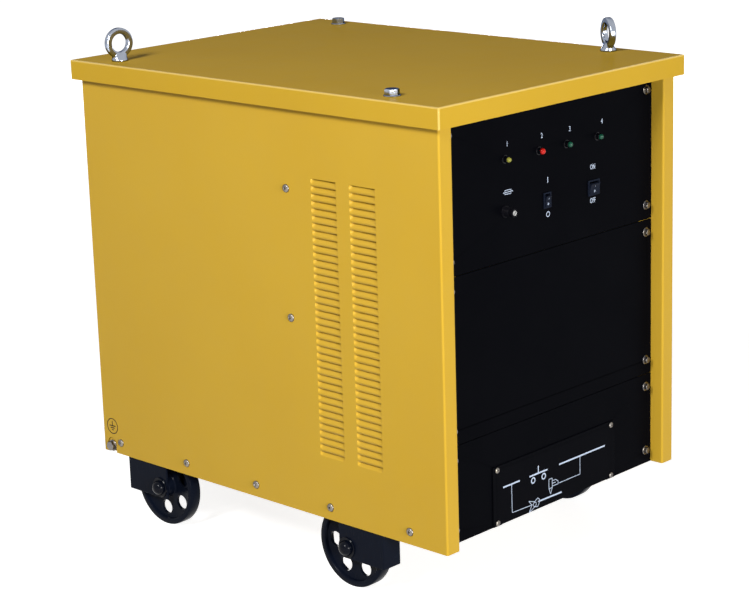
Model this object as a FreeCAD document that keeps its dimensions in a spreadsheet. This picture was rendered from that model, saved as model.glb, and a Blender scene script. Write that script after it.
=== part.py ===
import FreeCAD, Part
import Sketcher
import math
import os

# Air plasma cutter on four small wheels: a folded sheet cabinet over a welded angle frame,
# with its transformer set, rectifier, fan, air valve and controls inside.
# Millimetres. X is the width, the front looks along -Y, Z is up from the floor, and the
# origin lies on the floor under the middle of the lid.

V = FreeCAD.Vector

SIZES = (
    # Cabinet
    ("body_width", 480.0),
    ("body_depth", 675.0),
    ("panel_show", 550.0),
    ("ground_gap", 92.0),
    ("side_sheet", 1.5),
    ("flange_width", 24.0),
    ("recess", 20.0),
    ("tab_width", 26.0),
    ("bend_radius", 2.5),
    ("lid_overhang", 10.0),
    ("lid_skirt", 27.4),
    ("lid_sheet", 1.5),
    ("lid_bend", 2.0),
    # Pressed louvres in the side panels
    ("louvre_count", 39),
    ("louvre_pitch", 9.67),
    ("louvre_lowest", 94.2),
    ("louvre_height", 6.4),
    ("louvre_depth", 3.4),
    ("louvre_length", 45.0),
    ("louvre_wall", 1.5),
    ("louvre_setback", 200.2),
    ("louvre_columns", 68.5),
    # Black front and rear panels
    ("front_sheet", 2.0),
    ("panel_side_gap", 0.5),
    ("seam_gap", 0.8),
    ("seam_upper", 353.0),
    ("seam_lower", 131.5),
    ("lip_depth", 12.0),
    ("lip_inset", 30.0),
    # Terminal opening and its cover
    ("opening_half", 100.0),
    ("opening_low", 36.0),
    ("opening_high", 72.0),
    ("cover_half", 129.0),
    ("cover_high", 83.3),
    ("cover_low", 0.8),
    ("cover_sheet", 2.0),
    ("cover_raise", 1.6),
    ("cover_ear", 17.5),
    ("cover_screw_half", 120.8),
    ("cover_screw_low", 5.2),
    ("cover_screw_high", 78.3),
    # Base tray
    ("base_rise", 33.0),
    ("base_sheet", 3.0),
    ("skirt_sheet", 2.0),
    ("skirt_gap", 2.0),
    ("ear_reach", 19.0),
    ("ear_relief", 9.0),
    # Welded frame
    ("post_leg", 40.0),
    ("post_sheet", 4.0),
    ("strap_width", 34.0),
    ("weld_nut_radius", 9.0),
    ("weld_nut_height", 8.0),
    # Wheels and forks
    ("wheel_diameter", 116.0),
    ("rim_width", 18.0),
    ("rim_depth", 8.0),
    ("rim_edge", 1.5),
    ("web_sheet", 4.6),
    ("cast_draft", 1.0),
    ("hub_radius", 16.0),
    ("hub_play", 0.4),
    ("wheel_hole_radius", 10.5),
    ("wheel_hole_circle", 35.0),
    ("wheel_holes", 6),
    ("rim_setback", 5.0),
    ("front_axle_inset", 182.5),
    ("rear_axle_inset", 117.0),
    ("fork_width", 31.3),
    ("fork_sheet", 3.0),
    ("fork_drop", 50.0),
    ("fork_web_reach", 67.0),
    ("fork_free_reach", 14.4),
    ("fork_inner_reach", 34.0),
    ("fork_inner_chamfer", 20.0),
    ("axle_radius", 6.0),
    ("running_gap", 0.05),
    ("fixed_gap", 0.25),
    ("axle_washer_radius", 14.5),
    ("axle_washer", 2.5),
    ("axle_dome", 9.5),
    ("dome_steps", 4),
    ("front_wheel_turn", 1.0),
    ("rear_wheel_turn", 23.0),
    ("axle_nut_flats", 19.0),
    ("axle_nut_height", 9.0),
    # Lid bolts and lifting eyes
    ("lid_bolt_x", 218.0),
    ("lid_bolt_front", 242.0),
    ("lid_bolt_rear", 277.0),
    ("lid_bolt_radius", 5.0),
    ("lid_bolt_length", 17.0),
    ("lid_flange_radius", 11.0),
    ("lid_flange", 1.8),
    ("lid_hex_flats", 17.0),
    ("lid_hex_height", 7.5),
    ("eye_height", 25.5),
    ("eye_bore_radius", 12.5),
    ("eye_outer_radius", 21.0),
    ("eye_width", 9.0),
    ("eye_land", 4.4),
    ("eye_bevel", 2.2),
    ("eye_collar_radius", 11.2),
    ("eye_collar", 4.0),
    ("eye_neck_radius", 8.4),
    ("eye_neck", 10.5),
    ("front_eye_turn", 58.0),
    ("rear_eye_turn", 170.0),
    # Sheet-metal screws
    ("screw_radius", 2.5),
    ("washer_radius", 6.5),
    ("washer_sheet", 1.2),
    ("screw_flats", 8.0),
    ("screw_head", 3.8),
    ("side_head_radius", 5.5),
    ("side_head", 3.2),
    ("side_row_height", 17.7),
    ("side_row_pitch", 143.0),
    ("side_row_shift", 12.5),
    ("side_strap_y", 69.5),
    ("side_strap_high", 443.2),
    ("side_strap_low", 269.0),
    ("front_screw_x", 203.0),
    ("front_screw_1", 533.0),
    ("front_screw_2", 373.5),
    ("front_screw_3", 335.5),
    ("front_screw_4", 152.5),
    ("front_screw_5", 113.5),
    ("front_screw_6", 19.5),
    ("rear_screw_low", 20.0),
    ("rear_screw_pitch", 171.0),
    ("cover_screw_radius", 1.9),
    ("cover_head_radius", 4.0),
    ("cover_head", 2.4),
    ("cover_screw_length", 5.0),
    # Controls
    ("lamp_height", 486.0),
    ("lamp_air_x", -94.0),
    ("lamp_phase_x", -26.5),
    ("lamp_cutting_x", 30.0),
    ("lamp_power_x", 95.0),
    ("lamp_flange_radius", 5.8),
    ("lamp_flange", 1.0),
    ("lamp_sleeve_radius", 4.4),
    ("lamp_sleeve", 5.2),
    ("lamp_bore_radius", 3.4),
    ("lamp_body", 18.0),
    ("lamp_lens_radius", 4.3),
    ("control_height", 418.5),
    ("mode_x", -11.0),
    ("mode_width", 15.0),
    ("main_x", 86.5),
    ("main_width", 24.0),
    ("switch_tall", 21.0),
    ("switch_bezel", 2.0),
    ("switch_frame", 2.2),
    ("switch_body", 20.0),
    ("switch_cutout", 0.6),
    ("rocker_pivot", 3.4),
    ("rocker_gap", 0.3),
    ("rocker_tall", 14.2),
    ("rocker_rise", 4.2),
    ("rocker_dish", 1.3),
    ("rocker_keel", 5.0),
    ("rocker_pin_radius", 1.2),
    ("rocker_pin", 1.2),
    ("rocker_tilt", 10.0),
    ("fuse_x", -95.0),
    ("fuse_flange_radius", 8.0),
    ("fuse_flange", 2.0),
    ("fuse_sleeve_radius", 6.3),
    ("fuse_sleeve", 8.0),
    ("fuse_bore_radius", 4.0),
    ("fuse_body", 32.0),
    ("fuse_cap_radius", 5.6),
    ("fuse_cap", 7.0),
    ("fuse_link_radius", 2.6),
    # Earth terminal
    ("earth_y", 319.0),
    ("earth_height", 9.6),
    ("earth_notch_half", 9.0),
    ("earth_notch_top", 22.0),
    ("earth_bolt_radius", 4.0),
    ("earth_flats", 13.0),
    ("earth_head", 5.3),
    ("earth_washer_radius", 8.5),
    ("earth_washer", 1.6),
    # Rear panel
    ("fan_height", 420.0),
    ("fan_opening_radius", 96.0),
    ("guard_radius", 106.0),
    ("guard_sheet", 2.5),
    ("guard_rings", 4),
    ("guard_ring_width", 4.0),
    ("guard_hub_radius", 30.0),
    ("guard_spoke", 6.0),
    ("vent_low", 58.0),
    ("vent_pitch", 14.0),
    ("vent_height", 5.0),
    ("vent_half", 34.0),
    ("vent_x", 150.0),
    ("vent_count", 7),
    ("gland_x", -120.0),
    ("gland_height", 96.0),
    ("gland_bore_radius", 9.0),
    ("gland_thread_radius", 12.0),
    ("gland_flats", 30.0),
    ("gland_nut", 8.0),
    ("gland_cap", 16.0),
    ("gland_inside", 14.0),
    ("air_x", 120.0),
    ("air_tail_radius", 5.0),
    ("air_tail", 18.0),
    ("air_collar_flats", 17.0),
    ("air_collar", 6.0),
    ("air_bore_radius", 3.0),
    # Equipment inside
    ("shelf_height", 330.0),
    ("shelf_sheet", 2.0),
    ("shelf_lip", 18.0),
    ("shelf_front", 300.0),
    ("shelf_rear", 200.0),
    ("core_width", 300.0),
    ("core_depth", 80.0),
    ("core_tall", 230.0),
    ("core_limb", 46.0),
    ("core_y", 60.0),
    ("core_foot", 14.0),
    ("winding_gap", 1.0),
    ("winding_wall", 30.0),
    ("winding_bend", 14.0),
    ("reactor_y", -180.0),
    ("reactor_width", 150.0),
    ("reactor_depth", 60.0),
    ("reactor_tall", 120.0),
    ("reactor_limb", 32.0),
    ("reactor_winding", 20.0),
    ("sink_width", 180.0),
    ("sink_depth", 120.0),
    ("sink_base", 10.0),
    ("sink_fin", 45.0),
    ("sink_fins", 10),
    ("sink_fin_sheet", 4.0),
    ("sink_y", 110.0),
    ("module_width", 34.0),
    ("module_depth", 94.0),
    ("module_tall", 30.0),
    ("module_pitch", 56.0),
    ("contactor_x", -110.0),
    ("contactor_y", -150.0),
    ("contactor_width", 75.0),
    ("contactor_depth", 90.0),
    ("contactor_tall", 84.0),
    ("board_x", 70.0),
    ("board_y", -180.0),
    ("board_width", 190.0),
    ("board_depth", 130.0),
    ("board_sheet", 1.6),
    ("board_stand", 10.0),
    ("terminal_half", 96.0),
    ("terminal_sheet", 10.0),
    ("terminal_tall", 52.0),
    ("terminal_setback", 22.0),
    ("stud_radius", 4.0),
    ("stud_pitch", 62.0),
    ("stud_reach", 14.0),
    ("stud_flats", 13.0),
    ("stud_nut", 6.0),
    ("motor_radius", 34.0),
    ("motor_length", 46.0),
    ("shaft_radius", 4.0),
    ("shaft_reach", 30.0),
    ("blade_hub_radius", 24.0),
    ("blade_hub", 22.0),
    ("blade_reach", 84.0),
    ("blade_sheet", 2.0),
    ("blade_root", 15.0),
    ("blade_tip", 31.0),
    ("blade_count", 5),
)


class Size:
    """A length and the sheet expression that gives it, so whatever is drawn from it stays bound."""

    def __init__(self, value, text):
        self.value = float(value)
        self.text = text

    def __add__(self, other):
        other = as_size(other)
        return Size(self.value + other.value, f"({self.text} + {other.text})")

    def __sub__(self, other):
        other = as_size(other)
        return Size(self.value - other.value, f"({self.text} - {other.text})")

    def __mul__(self, other):
        other = as_size(other)
        return Size(self.value * other.value, f"({self.text} * {other.text})")

    def __truediv__(self, other):
        other = as_size(other)
        return Size(self.value / other.value, f"({self.text} / {other.text})")

    def __neg__(self):
        return Size(-self.value, f"(0 - {self.text})")


def as_size(thing):
    if isinstance(thing, Size):
        return thing
    if thing < 0:
        return Size(thing, f"(0 - {-thing:g})")
    return Size(thing, f"{thing:g}")


def sine(angle):
    return Size(math.sin(math.radians(angle.value)), f"sin({angle.text} * 1 deg)")


def cosine(angle):
    return Size(math.cos(math.radians(angle.value)), f"cos({angle.text} * 1 deg)")


class SizeNames:
    """Holds each driving dimension under its own name."""


doc = FreeCAD.newDocument("plasma_cutter")
sheet = doc.addObject("Spreadsheet::Sheet", "Sizes")
s = SizeNames()
for row, (alias, amount) in enumerate(SIZES, 1):
    sheet.set(f"A{row}", alias)
    sheet.set(f"B{row}", str(amount))
    sheet.setAlias(f"B{row}", alias)
    setattr(s, alias, Size(amount, f"Sizes.{alias}"))
doc.recompute()

ZERO = as_size(0)
SUBPARTS = []

# Directions that a piece drawn along its own +Z is turned to
TURN = {
    "+X": FreeCAD.Rotation(V(0, 1, 0), 90),
    "-X": FreeCAD.Rotation(V(0, 1, 0), -90),
    "+Y": FreeCAD.Rotation(V(1, 0, 0), -90),
    "-Y": FreeCAD.Rotation(V(1, 0, 0), 90),
    "+Z": FreeCAD.Rotation(),
    "-Z": FreeCAD.Rotation(V(1, 0, 0), 180),
}

SIDE_NAMES = {-1: "left", 1: "right"}
END_NAMES = {-1: "front", 1: "rear"}

# The way each origin plane's normal runs along its world axis
NORMAL = {"XY": 1, "XZ": -1, "YZ": 1}

# Levels and faces that more than one piece shares
half_width = s.body_width / 2
half_depth = s.body_depth / 2
z_low = s.ground_gap
z_show = z_low + s.panel_show
z_top = z_show + s.lid_skirt
z_rim = z_top - s.lid_sheet
inner_x = half_width - s.side_sheet
return_x = half_width - s.flange_width
panel_face = half_depth - s.recess
tab_face = panel_face - s.front_sheet
tab_back = tab_face - s.side_sheet
base_top = z_low + s.base_rise
base_under = base_top - s.base_sheet
skirt_inner = inner_x - s.skirt_sheet
front_axle_y = s.front_axle_inset - half_depth
rear_axle_y = half_depth - s.rear_axle_inset
axle_z = s.wheel_diameter / 2
fork_face = skirt_inner
rim_face = fork_face - s.fork_sheet - s.rim_setback
shelf_top = z_low + s.shelf_height
fan_z = z_low + s.fan_height


def bind(thing, prop, amount):
    """Sets a property and ties it to the sheet."""
    amount = as_size(amount)
    setattr(thing, prop, amount.value)
    thing.setExpression(prop, amount.text)


def place(thing, x, y, z, direction="+Z"):
    """Stands a piece at a point, with its own +Z turned to a direction."""
    at = [as_size(amount) for amount in (x, y, z)]
    base = V(*[amount.value for amount in at])
    thing.Placement = FreeCAD.Placement(base, TURN[direction])
    for axis, amount in zip("xyz", at):
        thing.setExpression(f"Placement.Base.{axis}", amount.text)
    return thing


def turned(thing, axis, angle):
    """Turns a placed piece about its own base point."""
    thing.Placement = FreeCAD.Placement(thing.Placement.Base, FreeCAD.Rotation(axis, angle.value))
    thing.setExpression("Placement.Rotation.Angle", angle.text)
    return thing


def finished(thing, label):
    """Marks an object as a sub-part that gets a file of its own."""
    thing.Label = label
    SUBPARTS.append(thing)
    return thing


def new_body(label):
    body = doc.addObject("PartDesign::Body", label)
    return finished(body, label)


def sketch_on(body, name, plane, at):
    """Makes a sketch on a plane of the body's own origin, moved along its world axis."""
    sketch = body.newObject("Sketcher::SketchObject", name)
    origin = next(f for f in body.Origin.OriginFeatures if f.Role == f"{plane}_Plane")
    sketch.AttachmentSupport = [(origin, "")]
    sketch.MapMode = "FlatFace"
    offset = as_size(at) * NORMAL[plane]
    sketch.AttachmentOffset = FreeCAD.Placement(V(0, 0, offset.value), FreeCAD.Rotation())
    sketch.setExpression("AttachmentOffset.Base.z", offset.text)
    return sketch


def locate(sketch, geometry, point, x, y):
    """Ties one point of a sketch to its origin."""
    for kind, amount, axis in (("DistanceX", as_size(x), -2), ("DistanceY", as_size(y), -1)):
        if amount.text == "0":
            sketch.addConstraint(Sketcher.Constraint("PointOnObject", geometry, point, axis))
        else:
            rule = Sketcher.Constraint(kind, -1, 1, geometry, point, amount.value)
            index = sketch.addConstraint(rule)
            sketch.setExpression(f"Constraints[{index}]", amount.text)


def polygon(sketch, points):
    """Draws a closed outline of straight lines through points that are pairs of sizes."""
    points = [(as_size(x), as_size(y)) for x, y in points]
    first = sketch.GeometryCount
    count = len(points)
    for i in range(count):
        start, end = points[i], points[(i + 1) % count]
        line = Part.LineSegment(V(start[0].value, start[1].value, 0), V(end[0].value, end[1].value, 0))
        sketch.addGeometry(line)
    for i in range(count):
        after = first + (i + 1) % count
        sketch.addConstraint(Sketcher.Constraint("Coincident", first + i, 2, after, 1))
    for i, (x, y) in enumerate(points):
        locate(sketch, first + i, 1, x, y)


def dome(radius, low):
    """Points of a half round that rises from a level to the sketch's upright axis."""
    steps = int(s.dome_steps.value)
    angles = [as_size(90) / s.dome_steps * i for i in range(steps)]
    side = [(radius * cosine(angle), low + radius * sine(angle)) for angle in angles]
    return side + [(0, low + radius)]


def rectangle(sketch, x0, y0, x1, y1):
    polygon(sketch, ((x0, y0), (x1, y0), (x1, y1), (x0, y1)))


def circle(sketch, x, y, radius):
    x, y, radius = as_size(x), as_size(y), as_size(radius)
    ring = Part.Circle(V(x.value, y.value, 0), V(0, 0, 1), radius.value)
    geometry = sketch.addGeometry(ring)
    index = sketch.addConstraint(Sketcher.Constraint("Radius", geometry, radius.value))
    sketch.setExpression(f"Constraints[{index}]", radius.text)
    locate(sketch, geometry, 3, x, y)


def pad(body, sketch, plane, length, toward):
    """Adds material from a sketch, toward +1 or -1 along the plane's world axis."""
    feature = body.newObject("PartDesign::Pad", f"{sketch.Name}_pad")
    feature.Profile = sketch
    bind(feature, "Length", length)
    feature.Reversed = toward != NORMAL[plane]
    return feature


def pocket(body, sketch, plane, depth, toward):
    """Cuts a sketch out of the body, toward +1 or -1 along the plane's world axis."""
    feature = body.newObject("PartDesign::Pocket", f"{sketch.Name}_pocket")
    feature.Profile = sketch
    bind(feature, "Length", depth)
    feature.Reversed = toward == NORMAL[plane]
    doc.recompute()
    if feature.Shape.Volume >= feature.BaseFeature.Shape.Volume - 1e-3:
        raise RuntimeError(f"{feature.Name} cuts nothing")
    return feature


def padded(body, name, plane, at, corners, length, toward):
    """Adds one rectangular block, given its sketch corners."""
    sketch = sketch_on(body, name, plane, at)
    rectangle(sketch, *corners)
    return pad(body, sketch, plane, length, toward)


def revolved(body, sketch):
    """Turns a sketch round its own vertical axis."""
    feature = body.newObject("PartDesign::Revolution", f"{sketch.Name}_turned")
    feature.Profile = sketch
    feature.ReferenceAxis = (sketch, ["V_Axis"])
    feature.Angle = 360
    return feature


def repeated(body, feature, pitch, count):
    """Repeats a feature upwards at a pitch."""
    pattern = body.newObject("PartDesign::LinearPattern", f"{feature.Name}_rows")
    upwards = next(f for f in body.Origin.OriginFeatures if f.Role == "Z_Axis")
    pattern.Originals = [feature]
    pattern.Direction = (upwards, [""])
    bind(pattern, "Length", pitch * (count - 1))
    pattern.Occurrences = int(count.value)
    pattern.setExpression("Occurrences", count.text)
    body.Tip = pattern
    doc.recompute()
    return pattern


def upright_edges(shape, corners):
    """Names the upright edges of a shape that stand at any of the corner points."""
    found = []
    for index, edge in enumerate(shape.Edges, 1):
        low, high = edge.Vertexes[0].Point, edge.Vertexes[-1].Point
        if abs(low.x - high.x) > 0.01 or abs(low.y - high.y) > 0.01:
            continue
        if any(abs(low.x - x.value) < 0.01 and abs(low.y - y.value) < 0.01 for x, y in corners):
            found.append(f"Edge{index}")
    return found


def rounded(body, feature, edges, radius, name):
    fillet = body.newObject("PartDesign::Fillet", name)
    fillet.Base = (feature, edges)
    bind(fillet, "Radius", radius)
    doc.recompute()
    return fillet


def box(name, low, high):
    """A block between two corners."""
    low = [as_size(amount) for amount in low]
    high = [as_size(amount) for amount in high]
    block = doc.addObject("Part::Box", name)
    bind(block, "Length", high[0] - low[0])
    bind(block, "Width", high[1] - low[1])
    bind(block, "Height", high[2] - low[2])
    return place(block, *low)


def rod(name, radius, length, x, y, z, direction="+Z"):
    """A round bar from a point along a direction."""
    bar = doc.addObject("Part::Cylinder", name)
    bind(bar, "Radius", radius)
    bind(bar, "Height", length)
    return place(bar, x, y, z, direction)


def hexagon(name, flats, length, x, y, z, direction="+Z"):
    """A hexagon bar of a width across its flats, from a point along a direction."""
    bar = doc.addObject("Part::Prism", name)
    bar.Polygon = 6
    bind(bar, "Circumradius", as_size(flats) * 0.57735)
    bind(bar, "Height", length)
    return place(bar, x, y, z, direction)


def fused(name, pieces):
    whole = doc.addObject("Part::MultiFuse", name)
    whole.Shapes = pieces
    return whole


def cut(name, base, tools):
    """Cuts one or more tools out of a base."""
    tool = tools[0] if len(tools) == 1 else fused(f"{name}_tools", tools)
    whole = doc.addObject("Part::Cut", name)
    whole.Base = base
    whole.Tool = tool
    return whole


def copies(label, master, places):
    """Stands copies of a master at places, as one sub-part of separate solids."""
    links = []
    for i, (x, y, z, direction) in enumerate(places):
        link = doc.addObject("App::Link", f"{label}_{i + 1}")
        link.LinkedObject = master
        links.append(place(link, x, y, z, direction))
    whole = doc.addObject("Part::Compound", label)
    whole.Links = links
    return finished(whole, label)


# Screw places shared by the panels, the frame and the screws themselves
side_row_y = [s.side_row_shift + s.side_row_pitch * step for step in (-2, -1, 0, 1, 2)]
side_row_z = z_low + s.side_row_height
side_strap_z = [z_low + s.side_strap_low, z_low + s.side_strap_high]
front_screws = [s.front_screw_1, s.front_screw_2, s.front_screw_3]
front_screws += [s.front_screw_4, s.front_screw_5, s.front_screw_6]
front_screw_z = [z_low + height for height in front_screws]
rear_screw_z = [z_low + s.rear_screw_low + s.rear_screw_pitch * step for step in (0, 1, 2, 3)]
screw_hole = s.screw_radius + s.fixed_gap
screw_grip = s.front_sheet + s.side_sheet
lid_bolts = (
    (s.lid_bolt_x, -s.lid_bolt_front),
    (-s.lid_bolt_x, s.lid_bolt_rear),
    (-s.lid_bolt_x, -s.lid_bolt_front),
    (s.lid_bolt_x, s.lid_bolt_rear),
)
lid_hole = s.lid_bolt_radius + s.fixed_gap


def side_panel(label, side):
    """Folded side: wall, flanges, returns and screw tabs front and rear, with pressed louvres."""
    body = new_body(label)
    outline = sketch_on(body, f"{label}_outline", "XY", z_low)
    tab_end = return_x - s.tab_width
    fold = s.side_sheet
    path = [
        (tab_end, -tab_face),
        (return_x, -tab_face),
        (return_x, -half_depth),
        (half_width, -half_depth),
        (half_width, half_depth),
        (return_x, half_depth),
        (return_x, tab_face),
        (tab_end, tab_face),
        (tab_end, tab_back),
        (return_x + fold, tab_back),
        (return_x + fold, half_depth - fold),
        (inner_x, half_depth - fold),
        (inner_x, -(half_depth - fold)),
        (return_x + fold, -(half_depth - fold)),
        (return_x + fold, -tab_back),
        (tab_end, -tab_back),
    ]
    polygon(outline, [(x * side, y) for x, y in path])
    wall = pad(body, outline, "XY", z_rim - z_low, 1)
    doc.recompute()
    outer = [(path[i][0] * side, path[i][1]) for i in (2, 3, 4, 5)]
    edges = upright_edges(wall.Shape, outer)
    bends = rounded(body, wall, edges, s.bend_radius, f"{label}_outer_bends")
    inner = [(path[i][0] * side, path[i][1]) for i in (10, 11, 12, 13)]
    edges = upright_edges(bends.Shape, inner)
    rounded(body, bends, edges, s.bend_radius - s.side_sheet, f"{label}_inner_bends")
    side_panel_holes(body, label, side)
    louvres(body, label, side)
    return body


def side_panel_holes(body, label, side):
    """Screw holes of a side panel's wall and tabs, and the left one's notch."""
    holes = sketch_on(body, f"{label}_wall_holes", "YZ", half_width * side)
    for y in side_row_y:
        circle(holes, y, side_row_z, screw_hole)
    for z in side_strap_z:
        circle(holes, -s.side_strap_y, z, screw_hole)
    pocket(body, holes, "YZ", s.side_sheet * 2, -side)
    for end, heights in ((-1, front_screw_z), (1, rear_screw_z)):
        holes = sketch_on(body, f"{label}_{END_NAMES[end]}_holes", "XZ", tab_face * end)
        for z in heights:
            circle(holes, s.front_screw_x * side, z, screw_hole)
        pocket(body, holes, "XZ", s.side_sheet, -end)
    if side < 0:
        earth_notch(body)


def louvres(body, label, side):
    """Two columns of louvres, each a slit over a scoop pressed into the wall."""
    slit = z_low + s.louvre_lowest
    length = s.louvre_length + s.louvre_wall * 2
    for column in (0, 1):
        middle = -half_depth + s.louvre_setback - s.louvre_columns * column
        hood = sketch_on(body, f"{label}_hood_{column}", "XZ", middle + length / 2)
        polygon(hood, (
            (inner_x * side, slit),
            ((inner_x - s.louvre_depth) * side, slit),
            (inner_x * side, slit - s.louvre_height),
        ))
        raised = pad(body, hood, "XZ", length, -1)
        repeated(body, raised, s.louvre_pitch, s.louvre_count)
        scoop = sketch_on(body, f"{label}_scoop_{column}", "XZ", middle + s.louvre_length / 2)
        polygon(scoop, (
            (half_width * side, slit),
            ((half_width - s.louvre_depth) * side, slit),
            (half_width * side, slit - s.louvre_height),
        ))
        sunk = pocket(body, scoop, "XZ", s.louvre_length, -1)
        repeated(body, sunk, s.louvre_pitch, s.louvre_count)


def earth_notch(body):
    """Round-topped notch in the left side's lower edge, round the earth terminal."""
    notch = sketch_on(body, "earth_notch", "YZ", -half_width)
    straight = z_low + s.earth_notch_top - s.earth_notch_half
    rectangle(notch, s.earth_y - s.earth_notch_half, z_low - s.side_sheet,
              s.earth_y + s.earth_notch_half, straight)
    pocket(body, notch, "YZ", s.side_sheet, 1)
    crown = sketch_on(body, "earth_notch_crown", "YZ", -half_width)
    circle(crown, s.earth_y, straight, s.earth_notch_half)
    pocket(body, crown, "YZ", s.side_sheet, 1)


def lid():
    """Folded tray that hangs over the cabinet all round."""
    body = new_body("lid")
    reach_x = half_width + s.lid_overhang
    reach_y = half_depth + s.lid_overhang
    plan = sketch_on(body, "lid_plan", "XY", z_show)
    rectangle(plan, -reach_x, -reach_y, reach_x, reach_y)
    block = pad(body, plan, "XY", s.lid_skirt, 1)
    doc.recompute()
    edges = []
    for index, edge in enumerate(block.Shape.Edges, 1):
        if edge.BoundBox.ZMax > z_top.value - 0.01:
            edges.append(f"Edge{index}")
    rounded(body, block, edges, s.lid_bend, "lid_bends")
    hollow = sketch_on(body, "lid_hollow", "XY", z_show)
    rectangle(hollow, s.lid_sheet - reach_x, s.lid_sheet - reach_y,
              reach_x - s.lid_sheet, reach_y - s.lid_sheet)
    pocket(body, hollow, "XY", s.lid_skirt - s.lid_sheet, 1)
    holes = sketch_on(body, "lid_holes", "XY", z_top)
    for x, y in lid_bolts:
        circle(holes, x, y, lid_hole)
    pocket(body, holes, "XY", s.lid_sheet, -1)
    return body


def front_panel(label, low, high, lip_low):
    """Flat black sheet between the returns, with a stiffening lip folded back along one edge."""
    body = new_body(label)
    reach = return_x - s.panel_side_gap
    padded(body, f"{label}_face", "XZ", -panel_face, (-reach, low, reach, high), s.front_sheet, 1)
    lip_reach = reach - s.lip_inset
    edge = low if lip_low else high - s.front_sheet
    corners = (-lip_reach, edge, lip_reach, edge + s.front_sheet)
    padded(body, f"{label}_lip", "XZ", -tab_face, corners, s.lip_depth, 1)
    holes = sketch_on(body, f"{label}_screw_holes", "XZ", -panel_face)
    for z in front_screw_z:
        if low.value < z.value < high.value:
            for side in (-1, 1):
                circle(holes, s.front_screw_x * side, z, screw_hole)
    pocket(body, holes, "XZ", s.front_sheet, 1)
    return body


def control_panel():
    """Upper front panel with the holes of its lamps, switches and fuse holder."""
    low = z_low + s.seam_upper + s.seam_gap / 2
    body = front_panel("control_panel", low, z_rim, True)
    holes = sketch_on(body, "control_holes", "XZ", -panel_face)
    for x in (s.lamp_air_x, s.lamp_phase_x, s.lamp_cutting_x, s.lamp_power_x):
        circle(holes, x, z_low + s.lamp_height, s.lamp_sleeve_radius + s.fixed_gap)
    z = z_low + s.control_height
    circle(holes, s.fuse_x, z, s.fuse_sleeve_radius + s.fixed_gap)
    tall = s.switch_tall / 2 - s.switch_cutout + s.fixed_gap
    for x, width in ((s.mode_x, s.mode_width), (s.main_x, s.main_width)):
        half = width / 2 - s.switch_cutout + s.fixed_gap
        rectangle(holes, x - half, z - tall, x + half, z + tall)
    pocket(body, holes, "XZ", s.front_sheet, 1)


def lower_panel():
    """Lower front panel with the opening in front of the output studs."""
    high = z_low + s.seam_lower - s.seam_gap / 2
    body = front_panel("lower_panel", z_low, high, False)
    opening = sketch_on(body, "terminal_opening", "XZ", -panel_face)
    rectangle(opening, -s.opening_half, z_low + s.opening_low, s.opening_half, z_low + s.opening_high)
    for x in (-s.cover_screw_half, s.cover_screw_half):
        for z in (s.cover_screw_low, s.cover_screw_high):
            circle(opening, x, z_low + z, s.cover_screw_radius + s.fixed_gap)
    pocket(body, opening, "XZ", s.front_sheet, 1)


def terminal_cover():
    """Plate over the terminal opening, its lower edge raised between two screw ears."""
    body = new_body("terminal_cover")
    plan = sketch_on(body, "cover_plan", "XZ", -panel_face)
    low = z_low + s.cover_low
    raised = low + s.cover_raise
    inner = s.cover_half - s.cover_ear
    polygon(plan, (
        (-s.cover_half, low),
        (-inner, low),
        (-inner, raised),
        (inner, raised),
        (inner, low),
        (s.cover_half, low),
        (s.cover_half, z_low + s.cover_high),
        (-s.cover_half, z_low + s.cover_high),
    ))
    pad(body, plan, "XZ", s.cover_sheet, -1)
    holes = sketch_on(body, "cover_holes", "XZ", -(panel_face + s.cover_sheet))
    doc.recompute()
    for x in (-s.cover_screw_half, s.cover_screw_half):
        for z in (s.cover_screw_low, s.cover_screw_high):
            circle(holes, x, z_low + z, s.cover_screw_radius + s.fixed_gap)
    pocket(body, holes, "XZ", s.cover_sheet, 1)


def rear_panel():
    """Rear sheet with the fan opening, two columns of vents and the inlet holes."""
    body = new_body("rear_panel")
    reach = return_x - s.panel_side_gap
    padded(body, "rear_face", "XZ", panel_face, (-reach, z_low, reach, z_rim), s.front_sheet, -1)
    holes = sketch_on(body, "rear_holes", "XZ", panel_face)
    circle(holes, 0, fan_z, s.fan_opening_radius)
    circle(holes, s.gland_x, z_low + s.gland_height, s.gland_thread_radius + s.fixed_gap)
    circle(holes, s.air_x, z_low + s.gland_height, s.air_tail_radius + s.fixed_gap)
    for z in rear_screw_z:
        for side in (-1, 1):
            circle(holes, s.front_screw_x * side, z, screw_hole)
    pocket(body, holes, "XZ", s.front_sheet, -1)
    vents = sketch_on(body, "rear_vents", "XZ", panel_face)
    low = z_low + s.gland_height + s.vent_low
    for side in (-1, 1):
        rectangle(vents, s.vent_x * side - s.vent_half, low, s.vent_x * side + s.vent_half,
                  low + s.vent_height)
    slots = pocket(body, vents, "XZ", s.front_sheet, -1)
    repeated(body, slots, s.vent_pitch, s.vent_count)


def fan_guard():
    """Round guard on the rear panel: rings and four spokes in front of the fan motor's seat."""
    y = panel_face
    pieces = [rod("guard_seat", s.guard_hub_radius, s.guard_sheet, 0, y, fan_z, "+Y")]
    step = (s.guard_radius - s.guard_hub_radius) / s.guard_rings
    for i in range(int(s.guard_rings.value)):
        outer = s.guard_radius - step * i
        ring = rod(f"guard_ring_{i}", outer, s.guard_sheet, 0, y, fan_z, "+Y")
        inside = rod(f"guard_gap_{i}", outer - s.guard_ring_width, s.guard_sheet, 0, y, fan_z, "+Y")
        pieces.append(cut(f"guard_band_{i}", ring, [inside]))
    reach = s.guard_radius - s.guard_ring_width / 2
    half = s.guard_spoke / 2
    pieces.append(box("guard_across", (-reach, y, fan_z - half), (reach, y + s.guard_sheet, fan_z + half)))
    pieces.append(box("guard_upright", (-half, y, fan_z - reach), (half, y + s.guard_sheet, fan_z + reach)))
    finished(fused("fan_guard", pieces), "fan_guard")


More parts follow.
